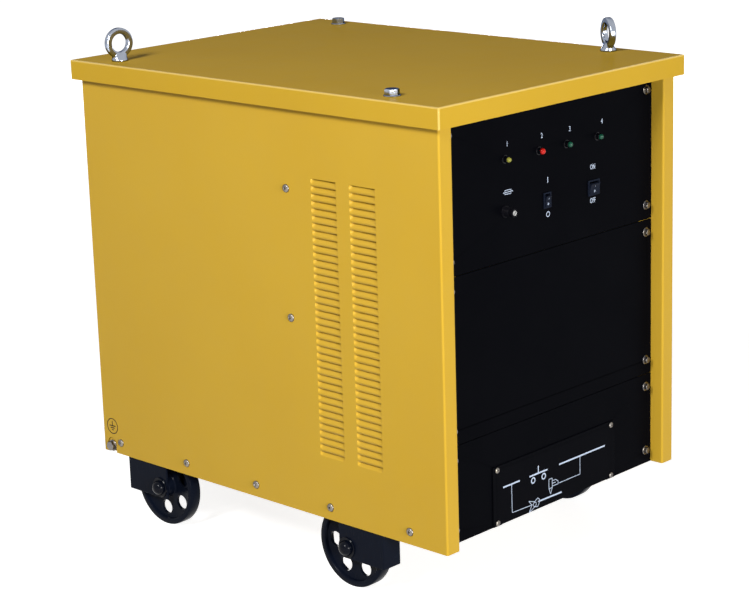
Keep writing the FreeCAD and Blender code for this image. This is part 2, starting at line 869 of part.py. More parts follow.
def base_tray():
    """Floor of the cabinet: a downward-folded tray with an ear for the earth terminal."""
    body = new_body("base_tray")
    low = z_low + s.skirt_gap
    corners = (-inner_x, -tab_back, inner_x, tab_back)
    padded(body, "base_block", "XY", low, corners, base_top - low, 1)
    hollow = sketch_on(body, "base_hollow", "XY", low)
    reach_y = tab_back - s.skirt_sheet
    rectangle(hollow, -skirt_inner, -reach_y, skirt_inner, reach_y)
    pocket(body, hollow, "XY", base_under - low, 1)
    corners = (tab_back, low, tab_back + s.ear_reach, base_top)
    padded(body, "earth_ear", "YZ", -inner_x, corners, s.skirt_sheet, 1)
    relief = sketch_on(body, "ear_relief", "XZ", tab_back)
    rectangle(relief, -skirt_inner, low, s.ear_relief - skirt_inner, base_under)
    pocket(body, relief, "XZ", s.skirt_sheet, -1)
    for side in (-1, 1):
        holes = sketch_on(body, f"base_holes_{SIDE_NAMES[side]}", "YZ", inner_x * side)
        for y in side_row_y:
            circle(holes, y, side_row_z, screw_hole)
        if side < 0:
            circle(holes, s.earth_y, z_low + s.earth_height, s.earth_bolt_radius + s.fixed_gap)
        pocket(body, holes, "YZ", s.skirt_sheet, -side)


def upright_frame():
    """Welded angle frame: corner posts, side straps, top rails and the nuts of the lid bolts."""
    body = new_body("upright_frame")
    plan = sketch_on(body, "posts_plan", "XY", base_top)
    x_in = inner_x - s.post_leg
    y_in = tab_back - s.post_leg
    for side in (-1, 1):
        for end in (-1, 1):
            polygon(plan, [(x * side, y * end) for x, y in (
                (inner_x, tab_back),
                (x_in, tab_back),
                (x_in, tab_back - s.post_sheet),
                (inner_x - s.post_sheet, tab_back - s.post_sheet),
                (inner_x - s.post_sheet, y_in),
                (inner_x, y_in),
            )])
    pad(body, plan, "XY", z_rim - base_top, 1)
    straps = sketch_on(body, "straps_plan", "XY", base_top)
    for side in (-1, 1):
        rectangle(straps, inner_x * side, -s.side_strap_y - s.strap_width / 2,
                  (inner_x - s.post_sheet) * side, -s.side_strap_y + s.strap_width / 2)
    pad(body, straps, "XY", z_rim - base_top, 1)
    rails = sketch_on(body, "side_rails", "XZ", -tab_back)
    for side in (-1, 1):
        polygon(rails, [(x * side, z) for x, z in (
            (inner_x, z_rim),
            (x_in, z_rim),
            (x_in, z_rim - s.post_sheet),
            (inner_x - s.post_sheet, z_rim - s.post_sheet),
            (inner_x - s.post_sheet, z_rim - s.post_leg),
            (inner_x, z_rim - s.post_leg),
        )])
    pad(body, rails, "XZ", tab_back * 2, 1)
    ties = sketch_on(body, "cross_rails", "YZ", -inner_x)
    for end in (-1, 1):
        rectangle(ties, tab_back * end, z_rim - s.post_sheet, y_in * end, z_rim)
    pad(body, ties, "YZ", inner_x * 2, 1)
    ledges = sketch_on(body, "shelf_ledges", "XZ", -tab_back)
    for side in (-1, 1):
        rectangle(ledges, (inner_x - s.post_sheet) * side, shelf_top - s.shelf_sheet - s.post_sheet,
                  x_in * side, shelf_top - s.shelf_sheet)
    pad(body, ledges, "XZ", tab_back * 2, 1)
    nuts = sketch_on(body, "weld_nuts", "XY", z_rim - s.post_sheet)
    for x, y in lid_bolts:
        circle(nuts, x, y, s.weld_nut_radius)
    pad(body, nuts, "XY", s.weld_nut_height, -1)
    bolts = sketch_on(body, "lid_bolt_holes", "XY", z_rim)
    for x, y in lid_bolts:
        circle(bolts, x, y, lid_hole)
    pocket(body, bolts, "XY", s.post_sheet + s.weld_nut_height, -1)
    for side in (-1, 1):
        holes = sketch_on(body, f"strap_holes_{SIDE_NAMES[side]}", "YZ", inner_x * side)
        for z in side_strap_z:
            circle(holes, -s.side_strap_y, z, screw_hole)
        pocket(body, holes, "YZ", screw_grip - s.side_sheet, -side)


def wheel_fork(label, side, end):
    """Box fork under the base: an outer plate, a longer inner plate, a top and an end web."""
    body = new_body(label)
    axle_y = front_axle_y if end < 0 else rear_axle_y
    low = z_low - s.fork_drop
    web_y = axle_y + s.fork_web_reach * end
    free_y = axle_y - s.fork_free_reach * end
    deep_y = axle_y - s.fork_inner_reach * end
    inner_face = fork_face - s.fork_width
    cheek = sketch_on(body, f"{label}_outer", "YZ", fork_face * side)
    rectangle(cheek, web_y, low, free_y, base_under)
    pad(body, cheek, "YZ", s.fork_sheet, -side)
    web = (fork_face * side, low, inner_face * side, base_under)
    padded(body, f"{label}_web", "XZ", web_y, web, s.fork_sheet, -end)
    crown = (fork_face * side, web_y, inner_face * side, free_y)
    padded(body, f"{label}_top", "XY", base_under, crown, s.fork_sheet, -1)
    back = sketch_on(body, f"{label}_inner", "YZ", inner_face * side)
    polygon(back, (
        (web_y, low),
        (deep_y + s.fork_inner_chamfer * end, low),
        (deep_y, low + s.fork_inner_chamfer),
        (deep_y, base_under),
        (web_y, base_under),
    ))
    pad(body, back, "YZ", s.fork_sheet, side)
    hole = sketch_on(body, f"{label}_axle_hole", "YZ", fork_face * side)
    circle(hole, axle_y, axle_z, s.axle_radius + s.fixed_gap)
    pocket(body, hole, "YZ", s.fork_width, -side)


def wheel(label, side, end):
    """Cast disc wheel with a raised rim, a hub and six round holes in its web."""
    body = new_body(label)
    radius = s.wheel_diameter / 2
    rim_in = radius - s.rim_depth
    face = (s.rim_width - s.web_sheet) / 2
    back = face + s.web_sheet
    bore = s.axle_radius + s.running_gap
    hub_low = s.hub_play - s.rim_setback
    hub_high = hub_low + s.fork_width - s.fork_sheet * 2 - s.hub_play * 2
    profile = sketch_on(body, f"{label}_profile", "XZ", 0)
    polygon(profile, (
        (bore, hub_low),
        (s.hub_radius - s.cast_draft, hub_low),
        (s.hub_radius, face),
        (rim_in - s.cast_draft, face),
        (rim_in, 0),
        (radius - s.rim_edge, 0),
        (radius, s.rim_edge),
        (radius, s.rim_width - s.rim_edge),
        (radius - s.rim_edge, s.rim_width),
        (rim_in, s.rim_width),
        (rim_in - s.cast_draft, back),
        (s.hub_radius, back),
        (s.hub_radius - s.cast_draft, hub_high),
        (bore, hub_high),
    ))
    revolved(body, profile)
    doc.recompute()
    hole = sketch_on(body, f"{label}_hole", "XY", back)
    turn = s.front_wheel_turn if end < 0 else s.rear_wheel_turn
    circle(hole, s.wheel_hole_circle * sine(turn), s.wheel_hole_circle * cosine(turn), s.wheel_hole_radius)
    opening = pocket(body, hole, "XY", s.web_sheet, -1)
    ring = body.newObject("PartDesign::PolarPattern", f"{label}_holes")
    ring.Originals = [opening]
    ring.Axis = (profile, ["V_Axis"])
    ring.Angle = 360
    ring.Occurrences = int(s.wheel_holes.value)
    ring.setExpression("Occurrences", s.wheel_holes.text)
    body.Tip = ring
    y = front_axle_y if end < 0 else rear_axle_y
    place(body, rim_face * side, y, axle_z, "+X" if side < 0 else "-X")


def axle_bolts():
    """Domed axle bolts through the forks, with the nuts on their inner ends."""
    master = doc.addObject("PartDesign::Body", "axle_bolt_master")
    tail = -(s.fork_width + s.axle_nut_height)
    profile = sketch_on(master, "axle_bolt_profile", "XZ", 0)
    polygon(profile, [
        (0, tail),
        (s.axle_radius, tail),
        (s.axle_radius, 0),
        (s.axle_washer_radius, 0),
        (s.axle_washer_radius, s.axle_washer),
        *dome(s.axle_dome, s.axle_washer),
    ])
    revolved(master, profile)
    nut = cut("axle_nut_master", hexagon("axle_hexagon", s.axle_nut_flats, s.axle_nut_height, 0, 0, 0),
              [rod("axle_nut_bore", s.axle_radius + s.running_gap, s.axle_nut_height, 0, 0, 0)])
    bolts = []
    nuts = []
    inner = fork_face - s.fork_width
    for y in (front_axle_y, rear_axle_y):
        bolts += [(-fork_face, y, axle_z, "-X"), (fork_face, y, axle_z, "+X")]
        nuts += [(-inner, y, axle_z, "+X"), (inner, y, axle_z, "-X")]
    copies("axle_bolts", master, bolts)
    copies("axle_nuts", nut, nuts)


def lifting_eye(label, place_xy, turn):
    """Forged lifting eye screwed through the lid into the frame, its ring turned about Z."""
    body = new_body(label)
    half = s.eye_width / 2
    land = s.eye_land / 2
    ring = sketch_on(body, f"{label}_ring", "XY", s.eye_height)
    polygon(ring, (
        (s.eye_bore_radius, -land),
        (s.eye_bore_radius + s.eye_bevel, -half),
        (s.eye_outer_radius - s.eye_bevel, -half),
        (s.eye_outer_radius, -land),
        (s.eye_outer_radius, land),
        (s.eye_outer_radius - s.eye_bevel, half),
        (s.eye_bore_radius + s.eye_bevel, half),
        (s.eye_bore_radius, land),
    ))
    revolved(body, ring)
    shank = sketch_on(body, f"{label}_shank", "XZ", 0)
    polygon(shank, (
        (0, -s.lid_bolt_length),
        (s.lid_bolt_radius, -s.lid_bolt_length),
        (s.lid_bolt_radius, 0),
        (s.eye_collar_radius, 0),
        (s.eye_collar_radius, s.eye_collar),
        (s.eye_neck_radius, s.eye_neck),
        (0, s.eye_neck),
    ))
    revolved(body, shank)
    place(body, place_xy[0], place_xy[1], z_top)
    turned(body, V(0, 0, 1), turn)


def lid_hex_bolts():
    """Flanged hexagon bolts on the other two corners of the lid."""
    master = fused("lid_bolt_master", [
        rod("lid_shank", s.lid_bolt_radius, s.lid_bolt_length, 0, 0, 0, "-Z"),
        rod("lid_flange_disc", s.lid_flange_radius, s.lid_flange, 0, 0, 0),
        hexagon("lid_hexagon", s.lid_hex_flats, s.lid_hex_height, 0, 0, s.lid_flange),
    ])
    copies("lid_bolts", master, [(x, y, z_top, "+Z") for x, y in lid_bolts[2:]])


def panel_screws():
    """Hexagon screws with washers in the panels, and round-headed ones in the side walls."""
    master = fused("panel_screw_master", [
        rod("screw_shank", s.screw_radius, screw_grip, 0, 0, 0, "-Z"),
        rod("screw_washer", s.washer_radius, s.washer_sheet, 0, 0, 0),
        hexagon("screw_hexagon", s.screw_flats, s.screw_head, 0, 0, s.washer_sheet),
    ])
    front = []
    rear = []
    for side in (-1, 1):
        front += [(s.front_screw_x * side, -panel_face, z, "-Y") for z in front_screw_z]
        rear += [(s.front_screw_x * side, panel_face, z, "+Y") for z in rear_screw_z]
    copies("front_panel_screws", master, front)
    copies("rear_panel_screws", master, rear)

    side_master = fused("side_screw_master", [
        rod("side_screw_shank", s.screw_radius, screw_grip, 0, 0, 0, "-Z"),
        rod("side_screw_head", s.side_head_radius, s.side_head, 0, 0, 0),
    ])
    places = []
    for side, direction in ((-1, "-X"), (1, "+X")):
        places += [(half_width * side, y, side_row_z, direction) for y in side_row_y]
        places += [(half_width * side, -s.side_strap_y, z, direction) for z in side_strap_z]
    copies("side_panel_screws", side_master, places)

    cover_master = fused("cover_screw_master", [
        rod("cover_screw_shank", s.cover_screw_radius, s.cover_screw_length, 0, 0, 0, "-Z"),
        rod("cover_screw_head", s.cover_head_radius, s.cover_head, 0, 0, 0),
    ])
    places = []
    for x in (-s.cover_screw_half, s.cover_screw_half):
        for z in (s.cover_screw_low, s.cover_screw_high):
            places.append((x, -(panel_face + s.cover_sheet), z_low + z, "-Y"))
    copies("terminal_cover_screws", cover_master, places)


def earth_terminal():
    """Earth bolt in the notch, with its washer outside and its nut behind the ear."""
    x = -inner_x
    y = s.earth_y
    z = z_low + s.earth_height
    behind = inner_x - s.skirt_sheet
    shank = s.skirt_sheet + s.earth_washer * 2 + s.earth_head
    bolt = fused("earth_bolt", [
        rod("earth_shank", s.earth_bolt_radius, shank, x - s.earth_washer, y, z, "+X"),
        hexagon("earth_head", s.earth_flats, s.earth_head, x - s.earth_washer, y, z, "-X"),
    ])
    bore = s.earth_bolt_radius + s.fixed_gap
    washer = cut("earth_washer", rod("earth_disc", s.earth_washer_radius, s.earth_washer, x, y, z, "-X"),
                 [rod("earth_disc_bore", bore, s.earth_washer, x, y, z, "-X")])
    nut = cut("earth_nut", hexagon("earth_nut_hexagon", s.earth_flats, s.earth_head, -behind, y, z, "+X"),
              [rod("earth_nut_bore", bore, s.earth_head, -behind, y, z, "+X")])
    whole = doc.addObject("Part::Compound", "earth_terminal")
    whole.Links = [bolt, washer, nut]
    finished(whole, "earth_terminal")


def lamp(name, x):
    """Indicator lamp: a sleeve that stands out of the panel and a domed lens in its end."""
    z = z_low + s.lamp_height
    bezel = new_body(f"{name}_bezel")
    profile = sketch_on(bezel, f"{name}_bezel_profile", "XZ", 0)
    sleeve = s.lamp_flange + s.lamp_sleeve
    floor = s.lamp_flange
    polygon(profile, (
        (0, -s.lamp_body),
        (s.lamp_sleeve_radius, -s.lamp_body),
        (s.lamp_sleeve_radius, 0),
        (s.lamp_flange_radius, 0),
        (s.lamp_flange_radius, s.lamp_flange),
        (s.lamp_sleeve_radius, s.lamp_flange),
        (s.lamp_sleeve_radius, sleeve),
        (s.lamp_bore_radius, sleeve),
        (s.lamp_bore_radius, floor),
        (0, floor),
    ))
    revolved(bezel, profile)
    place(bezel, x, -panel_face, z, "-Y")

    lens = new_body(f"{name}_lens")
    stem = s.lamp_bore_radius - s.fixed_gap
    profile = sketch_on(lens, f"{name}_lens_profile", "XZ", 0)
    polygon(profile, [
        (0, floor),
        (stem, floor),
        (stem, sleeve),
        *dome(s.lamp_lens_radius, sleeve),
    ])
    revolved(lens, profile)
    place(lens, x, -panel_face, z, "-Y")


def rocker_switch(name, x, width):
    """Rocker switch: a hollow body through the panel, and a rocker resting with its low half in."""
    z = z_low + s.control_height
    half = width / 2
    tall = s.switch_tall / 2
    housing = new_body(f"{name}_switch_housing")
    corners = (x - half, z - tall, x + half, z + tall)
    padded(housing, f"{name}_bezel", "XZ", -panel_face, corners, s.switch_bezel, -1)
    cutout = s.switch_cutout
    corners = (x - half + cutout, z - tall + cutout, x + half - cutout, z + tall - cutout)
    padded(housing, f"{name}_case", "XZ", -panel_face, corners, s.switch_body, 1)
    for side in (-1, 1):
        blade = z + s.rocker_keel * side
        tag = s.rocker_pin
        corners = (x - tag * 2, blade - tag / 3, x + tag * 2, blade + tag / 3)
        padded(housing, f"{name}_tag_{'low' if side < 0 else 'high'}", "XZ", s.switch_body - panel_face,
               corners, s.rocker_keel + tag, 1)
    frame = s.switch_frame
    window = sketch_on(housing, f"{name}_window", "XZ", -(panel_face + s.switch_bezel))
    doc.recompute()
    rectangle(window, x - half + frame, z - tall + frame, x + half - frame, z + tall - frame)
    pocket(housing, window, "XZ", s.switch_bezel + s.rocker_pivot + s.rocker_keel + frame, 1)

    pivot_y = s.rocker_pivot - panel_face
    rocker_half = half - frame - s.rocker_gap
    rocker = new_body(f"{name}_rocker")
    rise = s.rocker_rise + s.rocker_pivot
    end = s.rocker_tall / 2
    side_view = sketch_on(rocker, f"{name}_rocker_side", "YZ", -rocker_half)
    polygon(side_view, (
        (-(rise - s.rocker_dish), 0),
        (-rise, end),
        (-s.rocker_pivot, end),
        (s.rocker_keel, s.rocker_keel / 2),
        (s.rocker_keel, s.rocker_keel / -2),
        (-s.rocker_pivot, -end),
        (-rise, -end),
    ))
    pad(rocker, side_view, "YZ", rocker_half * 2, 1)
    pins = sketch_on(rocker, f"{name}_rocker_pins", "YZ", -(rocker_half + s.rocker_pin))
    circle(pins, 0, 0, s.rocker_pin_radius)
    pad(rocker, pins, "YZ", rocker_half * 2 + s.rocker_pin * 2, 1)
    place(rocker, x, pivot_y, z)
    turned(rocker, V(1, 0, 0), s.rocker_tilt)

    bore = sketch_on(housing, f"{name}_pin_bore", "YZ", x - rocker_half - s.rocker_pin - s.fixed_gap)
    circle(bore, pivot_y, z, s.rocker_pin_radius + s.running_gap)
    pocket(housing, bore, "YZ", (rocker_half + s.rocker_pin + s.fixed_gap) * 2, 1)


def fuse_holder():
    """Fuse holder through the panel, and the cap that carries the fuse link into it."""
    z = z_low + s.control_height
    holder = new_body("fuse_holder")
    profile = sketch_on(holder, "fuse_holder_profile", "XZ", 0)
    sleeve = s.fuse_flange + s.fuse_sleeve
    floor = s.fuse_flange - s.fuse_body
    polygon(profile, (
        (0, floor - s.fuse_flange),
        (s.fuse_sleeve_radius, floor - s.fuse_flange),
        (s.fuse_sleeve_radius, 0),
        (s.fuse_flange_radius, 0),
        (s.fuse_flange_radius, s.fuse_flange),
        (s.fuse_sleeve_radius, s.fuse_flange),
        (s.fuse_sleeve_radius, sleeve),
        (s.fuse_bore_radius, sleeve),
        (s.fuse_bore_radius, floor),
        (0, floor),
    ))
    revolved(holder, profile)
    place(holder, s.fuse_x, -panel_face, z, "-Y")

    grip = rod("fuse_grip", s.fuse_cap_radius, s.fuse_cap, 0, 0, sleeve)
    slot_half = s.fuse_flange / 4
    slot = box("fuse_slot", (-s.fuse_cap_radius, -slot_half, sleeve + s.fuse_cap - s.fuse_flange),
               (s.fuse_cap_radius, slot_half, sleeve + s.fuse_cap))
    stem = rod("fuse_stem", s.fuse_bore_radius - s.running_gap, s.fuse_sleeve, 0, 0, s.fuse_flange)
    link = rod("fuse_link", s.fuse_link_radius, s.fuse_body - s.fuse_flange, 0, 0,
               floor + s.fuse_flange)
    cap = fused("fuse_cap", [cut("fuse_grip_slotted", grip, [slot]), stem, link])
    place(cap, s.fuse_x, -panel_face, z, "-Y")
    finished(cap, "fuse_cap")


def cable_gland():
    """Mains cable gland in the rear panel, open right through for the cable."""
    x, y, z = s.gland_x, panel_face, z_low + s.gland_height
    inside = s.front_sheet + s.gland_inside
    pieces = [
        hexagon("gland_nut", s.gland_flats, s.gland_nut, x, y, z, "+Y"),
        rod("gland_dome", s.gland_flats / 2 - s.gland_nut / 4, s.gland_cap, x, y + s.gland_nut, z, "+Y"),
        rod("gland_thread", s.gland_thread_radius, inside, x, y - inside, z, "+Y"),
        hexagon("gland_locknut", s.gland_flats, s.gland_nut / 2, x, y - s.front_sheet, z, "-Y"),
    ]
    length = inside + s.gland_nut + s.gland_cap
    bore = rod("gland_bore", s.gland_bore_radius, length, x, y - inside, z, "+Y")
    finished(cut("cable_gland", fused("gland_blank", pieces), [bore]), "cable_gland")


def air_valve():
    """Solenoid air valve on the rear panel, with its hose tail outside and its coil above."""
    x, y, z = s.air_x, panel_face, z_low + s.gland_height
    inner = y - s.front_sheet
    half = s.air_collar_flats
    coil = s.air_collar_flats * 0.8
    pieces = [
        rod("air_tail_outside", s.air_tail_radius, s.air_tail + s.air_collar + s.front_sheet,
            x, inner, z, "+Y"),
        hexagon("air_collar_outside", s.air_collar_flats, s.air_collar, x, y, z, "+Y"),
        box("air_block", (x - half, inner - half * 2, z - half * 0.8), (x + half, inner, z + half * 0.8)),
        rod("air_coil", coil, half * 2, x, inner - half, z + half * 0.8, "+Z"),
        rod("air_outlet", s.air_tail_radius, half, x, inner - half * 2, z, "-Y"),
    ]
    bore = rod("air_bore", s.air_bore_radius, s.air_tail + s.air_collar,
               x, y + s.air_tail + s.air_collar, z, "-Y")
    finished(cut("air_valve", fused("air_blank", pieces), [bore]), "air_valve")


def equipment_shelf():
    """Shelf across the frame's ledges, folded up at its front and rear."""
    body = new_body("equipment_shelf")
    reach = inner_x - s.post_sheet - s.fixed_gap
    level = shelf_top - s.shelf_sheet
    outline = (-reach, -s.shelf_front + s.post_leg, reach, s.shelf_rear)
    padded(body, "shelf_plate", "XY", level, outline, s.shelf_sheet, 1)
    lip_reach = inner_x - s.post_leg - s.fixed_gap
    for end, y in ((-1, -s.shelf_front + s.post_leg), (1, s.shelf_rear)):
        corners = (-lip_reach, shelf_top, lip_reach, shelf_top + s.shelf_lip)
        padded(body, f"shelf_lip_{END_NAMES[end]}", "XZ", y, corners, s.shelf_sheet, -end)


def transformer():
    """Three-limb core with yokes and feet, and a winding on each limb."""
    low = base_top + s.core_foot
    high = low + s.core_tall
    half = s.core_width / 2
    front = s.core_y - s.core_depth / 2
    limb = s.core_limb
    window = (s.core_width - limb * 3) / 2
    core = new_body("transformer_core")
    face = sketch_on(core, "core_face", "XZ", front)
    rectangle(face, -half, low, half, high)
    for side in (-1, 1):
        rectangle(face, limb / 2 * side, low + limb, (limb / 2 + window) * side, high - limb)
    pad(core, face, "XZ", s.core_depth, 1)
    feet = sketch_on(core, "core_feet", "XY", base_top)
    for side in (-1, 1):
        x = (half - limb / 2) * side
        rectangle(feet, x - limb / 2, front - s.core_foot, x + limb / 2, front + s.core_depth + s.core_foot)
    pad(core, feet, "XY", s.core_foot, 1)

    gap = s.winding_gap
    pitch = window + limb
    wall = s.winding_wall
    inner_half = limb / 2 + gap
    inner_deep = s.core_depth / 2 + gap
    for name, step in (("left", -1), ("middle", 0), ("right", 1)):
        label = f"{name}_winding"
        winding = new_body(label)
        turns = sketch_on(winding, f"{label}_turns", "XY", low + limb)
        x = pitch * step
        outer_x = inner_half + wall
        outer_y = inner_deep + wall
        rectangle(turns, x - outer_x, s.core_y - outer_y, x + outer_x, s.core_y + outer_y)
        coil = pad(winding, turns, "XY", s.core_tall - limb * 2, 1)
        doc.recompute()
        corners = [(x + outer_x * i, s.core_y + outer_y * j) for i in (-1, 1) for j in (-1, 1)]
        rounded(winding, coil, upright_edges(coil.Shape, corners), s.winding_bend, f"{label}_bends")
        eye = sketch_on(winding, f"{label}_eye", "XY", low + limb)
        rectangle(eye, x - inner_half, s.core_y - inner_deep, x + inner_half, s.core_y + inner_deep)
        pocket(winding, eye, "XY", s.core_tall - limb * 2, 1)


def output_reactor():
    """Smoothing reactor on the base: a square core with a winding round one limb."""
    body = new_body("output_reactor")
    half = s.reactor_width / 2
    front = s.reactor_y - s.reactor_depth / 2
    limb = s.reactor_limb
    face = sketch_on(body, "reactor_face", "XZ", front)
    rectangle(face, -half, base_top, half, base_top + s.reactor_tall)
    rectangle(face, limb - half, base_top + limb, half - limb, base_top + s.reactor_tall - limb)
    pad(body, face, "XZ", s.reactor_depth, 1)
    turns = sketch_on(body, "reactor_turns", "XY", base_top + limb)
    wall = s.reactor_winding
    for side in (-1, 1):
        x = (half - limb / 2) * side
        reach = limb / 2 + wall
        rectangle(turns, x - reach, front - wall, x + reach, front + s.reactor_depth + wall)
    pad(body, turns, "XY", s.reactor_tall - limb * 2, 1)


def rectifier():
    """Finned heat sink on the shelf, with three rectifier modules on its flat side."""
    half = s.sink_width / 2
    front = s.sink_y - s.sink_depth / 2
    fin_top = shelf_top + s.sink_fin
    high = fin_top + s.sink_base
    sink = new_body("rectifier_heat_sink")
    comb = sketch_on(sink, "sink_comb", "XZ", front)
    fins = int(s.sink_fins.value)
    pitch = (s.sink_width - s.sink_fin_sheet) / (s.sink_fins - 1)
    points = [(half, high), (-half, high)]
    for i in range(fins):
        left = pitch * i - half
        points += [(left, shelf_top), (left + s.sink_fin_sheet, shelf_top)]
        if i < fins - 1:
            points += [(left + s.sink_fin_sheet, fin_top), (left + pitch, fin_top)]
    polygon(comb, points)
    pad(sink, comb, "XZ", s.sink_depth, 1)
    blocks = []
    for i in (-1, 0, 1):
        x = s.module_pitch * i
        y = s.sink_y
        wide = s.module_width / 2
        deep = s.module_depth / 2
        top = high + s.module_tall
        block = box(f"module_block_{i + 1}", (x - wide, y - deep, high), (x + wide, y + deep, top))
        rib = box(f"module_rib_{i + 1}", (x - wide / 2, y - deep / 2, top),
                  (x + wide / 2, y + deep / 2, top + s.sink_fin_sheet))
        blocks.append(fused(f"module_{i + 1}", [block, rib]))
    whole = doc.addObject("Part::Compound", "rectifier_modules")
    whole.Links = blocks
    finished(whole, "rectifier_modules")


def contactor():
    """Mains contactor: stepped body with terminal decks above and below its coil block."""
    half = s.contactor_width / 2
    x, y = s.contactor_x, s.contactor_y
    body = new_body("contactor")
    side_view = sketch_on(body, "contactor_side", "YZ", x - half)
    deep = s.contactor_depth / 2
    deck = s.contactor_tall * 0.6
    step = s.contactor_depth * 0.22
    polygon(side_view, (
        (y - deep, shelf_top),
        (y + deep, shelf_top),
        (y + deep, shelf_top + deck),
        (y + deep - step, shelf_top + deck),
        (y + deep - step, shelf_top + s.contactor_tall),
        (y - deep + step, shelf_top + s.contactor_tall),
        (y - deep + step, shelf_top + deck),
        (y - deep, shelf_top + deck),
    ))
    pad(body, side_view, "YZ", s.contactor_width, 1)
    slots = sketch_on(body, "contactor_slots", "XZ", y - deep)
    gap = s.contactor_width / 9
    for i in (-1, 0, 1):
        middle = x + s.contactor_width * 0.3 * i
        rectangle(slots, middle - gap, shelf_top + deck - gap * 2, middle + gap, shelf_top + deck)
    pocket(body, slots, "XZ", step, 1)


def control_board():
    """Control board on four stand-offs, with its relays, transformer and capacitors."""
    x, y = s.board_x, s.board_y
    half = s.board_width / 2
    deep = s.board_depth / 2
    low = shelf_top + s.board_stand
    high = low + s.board_sheet
    pieces = [box("board_plate", (x - half, y - deep, low), (x + half, y + deep, high))]
    inset = s.board_stand
    foot = inset / 3
    for i in (-1, 1):
        for j in (-1, 1):
            stand_x = x + (half - inset) * i
            stand_y = y + (deep - inset) * j
            pieces.append(box(f"board_stand_{i + 1}_{j + 1}", (stand_x - foot, stand_y - foot, shelf_top),
                              (stand_x + foot, stand_y + foot, low)))
    block = s.board_stand * 1.6
    rear = y + deep - block
    for i in range(4):
        left = x - half + block * (1 + i * 1.4)
        pieces.append(box(f"board_relay_{i}", (left, rear - block, high), (left + block, rear, high + block)))
    pieces.append(box("board_transformer", (x - block, y - block, high),
                      (x + block * 2, y + block, high + block * 1.8)))
    for i in (0, 1):
        middle = x - half + block * (1.2 + i * 1.4)
        pieces.append(rod(f"board_capacitor_{i}", block / 2, block * 1.6, middle, y - block, high))
    pieces.append(box("board_terminals", (x - half + block, y - deep, high),
                      (x + half - block, y - deep + block * 0.7, high + block * 0.8)))
    finished(fused("control_board", pieces), "control_board")


def terminal_board():
    """Insulating board behind the opening, standing on the base, with three output studs."""
    front = s.terminal_setback - panel_face
    back = front + s.terminal_sheet
    high = base_top + s.terminal_tall
    plate = box("terminal_plate", (-s.terminal_half, front, base_top), (s.terminal_half, back, high))
    foot = box("terminal_foot", (-s.terminal_half, front, base_top),
               (s.terminal_half, back + s.terminal_setback, base_top + s.terminal_sheet))
    z = z_low + (s.opening_low + s.opening_high) / 2
    stud_x = [s.stud_pitch * i for i in (-1, 0, 1)]
    holes = [rod(f"terminal_hole_{i}", s.stud_radius + s.fixed_gap, s.terminal_sheet, x, front, z, "+Y")
             for i, x in enumerate(stud_x)]
    finished(cut("terminal_board", fused("terminal_blank", [plate, foot]), holes), "terminal_board")
    length = s.stud_reach + s.terminal_sheet + s.stud_nut
    master = fused("output_stud_master", [
        rod("stud_bar", s.stud_radius, length, 0, 0, -(s.terminal_sheet + s.stud_nut)),
        hexagon("stud_front_nut", s.stud_flats, s.stud_nut, 0, 0, 0),
        hexagon("stud_rear_nut", s.stud_flats, s.stud_nut, 0, 0, -s.terminal_sheet, "-Z"),
    ])
    copies("output_studs", master, [(x, front, z, "-Y") for x in stud_x])


def twisted_blade(body):
    """One fan blade lofted from a short steep root inside the hub to a long flat tip."""
    sections = []
    for name, half, at in (("root", s.blade_root, s.blade_root), ("tip", s.blade_tip, s.blade_reach)):
        section = sketch_on(body, f"fan_blade_{name}", "YZ", at)
        polygon(section, (
            (-half, s.blade_sheet),
            (-half, s.blade_sheet * 2),
            (half, s.blade_hub),
            (half, s.blade_hub - s.blade_sheet),
        ))
        sections.append(section)
    blade = body.newObject("PartDesign::AdditiveLoft", "fan_blade")
    blade.Profile = sections[0]
    blade.Sections = sections[1:]
    blade.Ruled = True
    body.Tip = blade
    return blade


def cooling_fan():
    """Fan motor hung on the guard's seat, and the fan wheel that turns on its shaft."""
    seat = panel_face
    face = seat - s.motor_length
    back = seat - s.guard_sheet
    motor = fused("fan_motor", [
        rod("motor_case", s.motor_radius, s.motor_length - s.guard_sheet, 0, back, fan_z, "-Y"),
        rod("motor_seat", s.guard_hub_radius, s.guard_sheet, 0, seat, fan_z, "-Y"),
        rod("motor_shaft", s.shaft_radius, s.shaft_reach, 0, face, fan_z, "-Y"),
    ])
    finished(motor, "fan_motor")

    body = new_body("fan_wheel")
    hub = sketch_on(body, "fan_hub", "XY", 0)
    circle(hub, 0, 0, s.blade_hub_radius)
    pad(body, hub, "XY", s.blade_hub, 1)
    arm = twisted_blade(body)
    arms = body.newObject("PartDesign::PolarPattern", "fan_blades")
    arms.Originals = [arm]
    arms.Axis = (hub, ["N_Axis"])
    arms.Angle = 360
    arms.Occurrences = int(s.blade_count.value)
    arms.setExpression("Occurrences", s.blade_count.text)
    body.Tip = arms
    doc.recompute()
    bore = sketch_on(body, "fan_bore", "XY", 0)
    circle(bore, 0, 0, s.shaft_radius + s.running_gap)
    pocket(body, bore, "XY", s.blade_hub, 1)
    place(body, 0, face - s.fixed_gap, fan_z, "-Y")


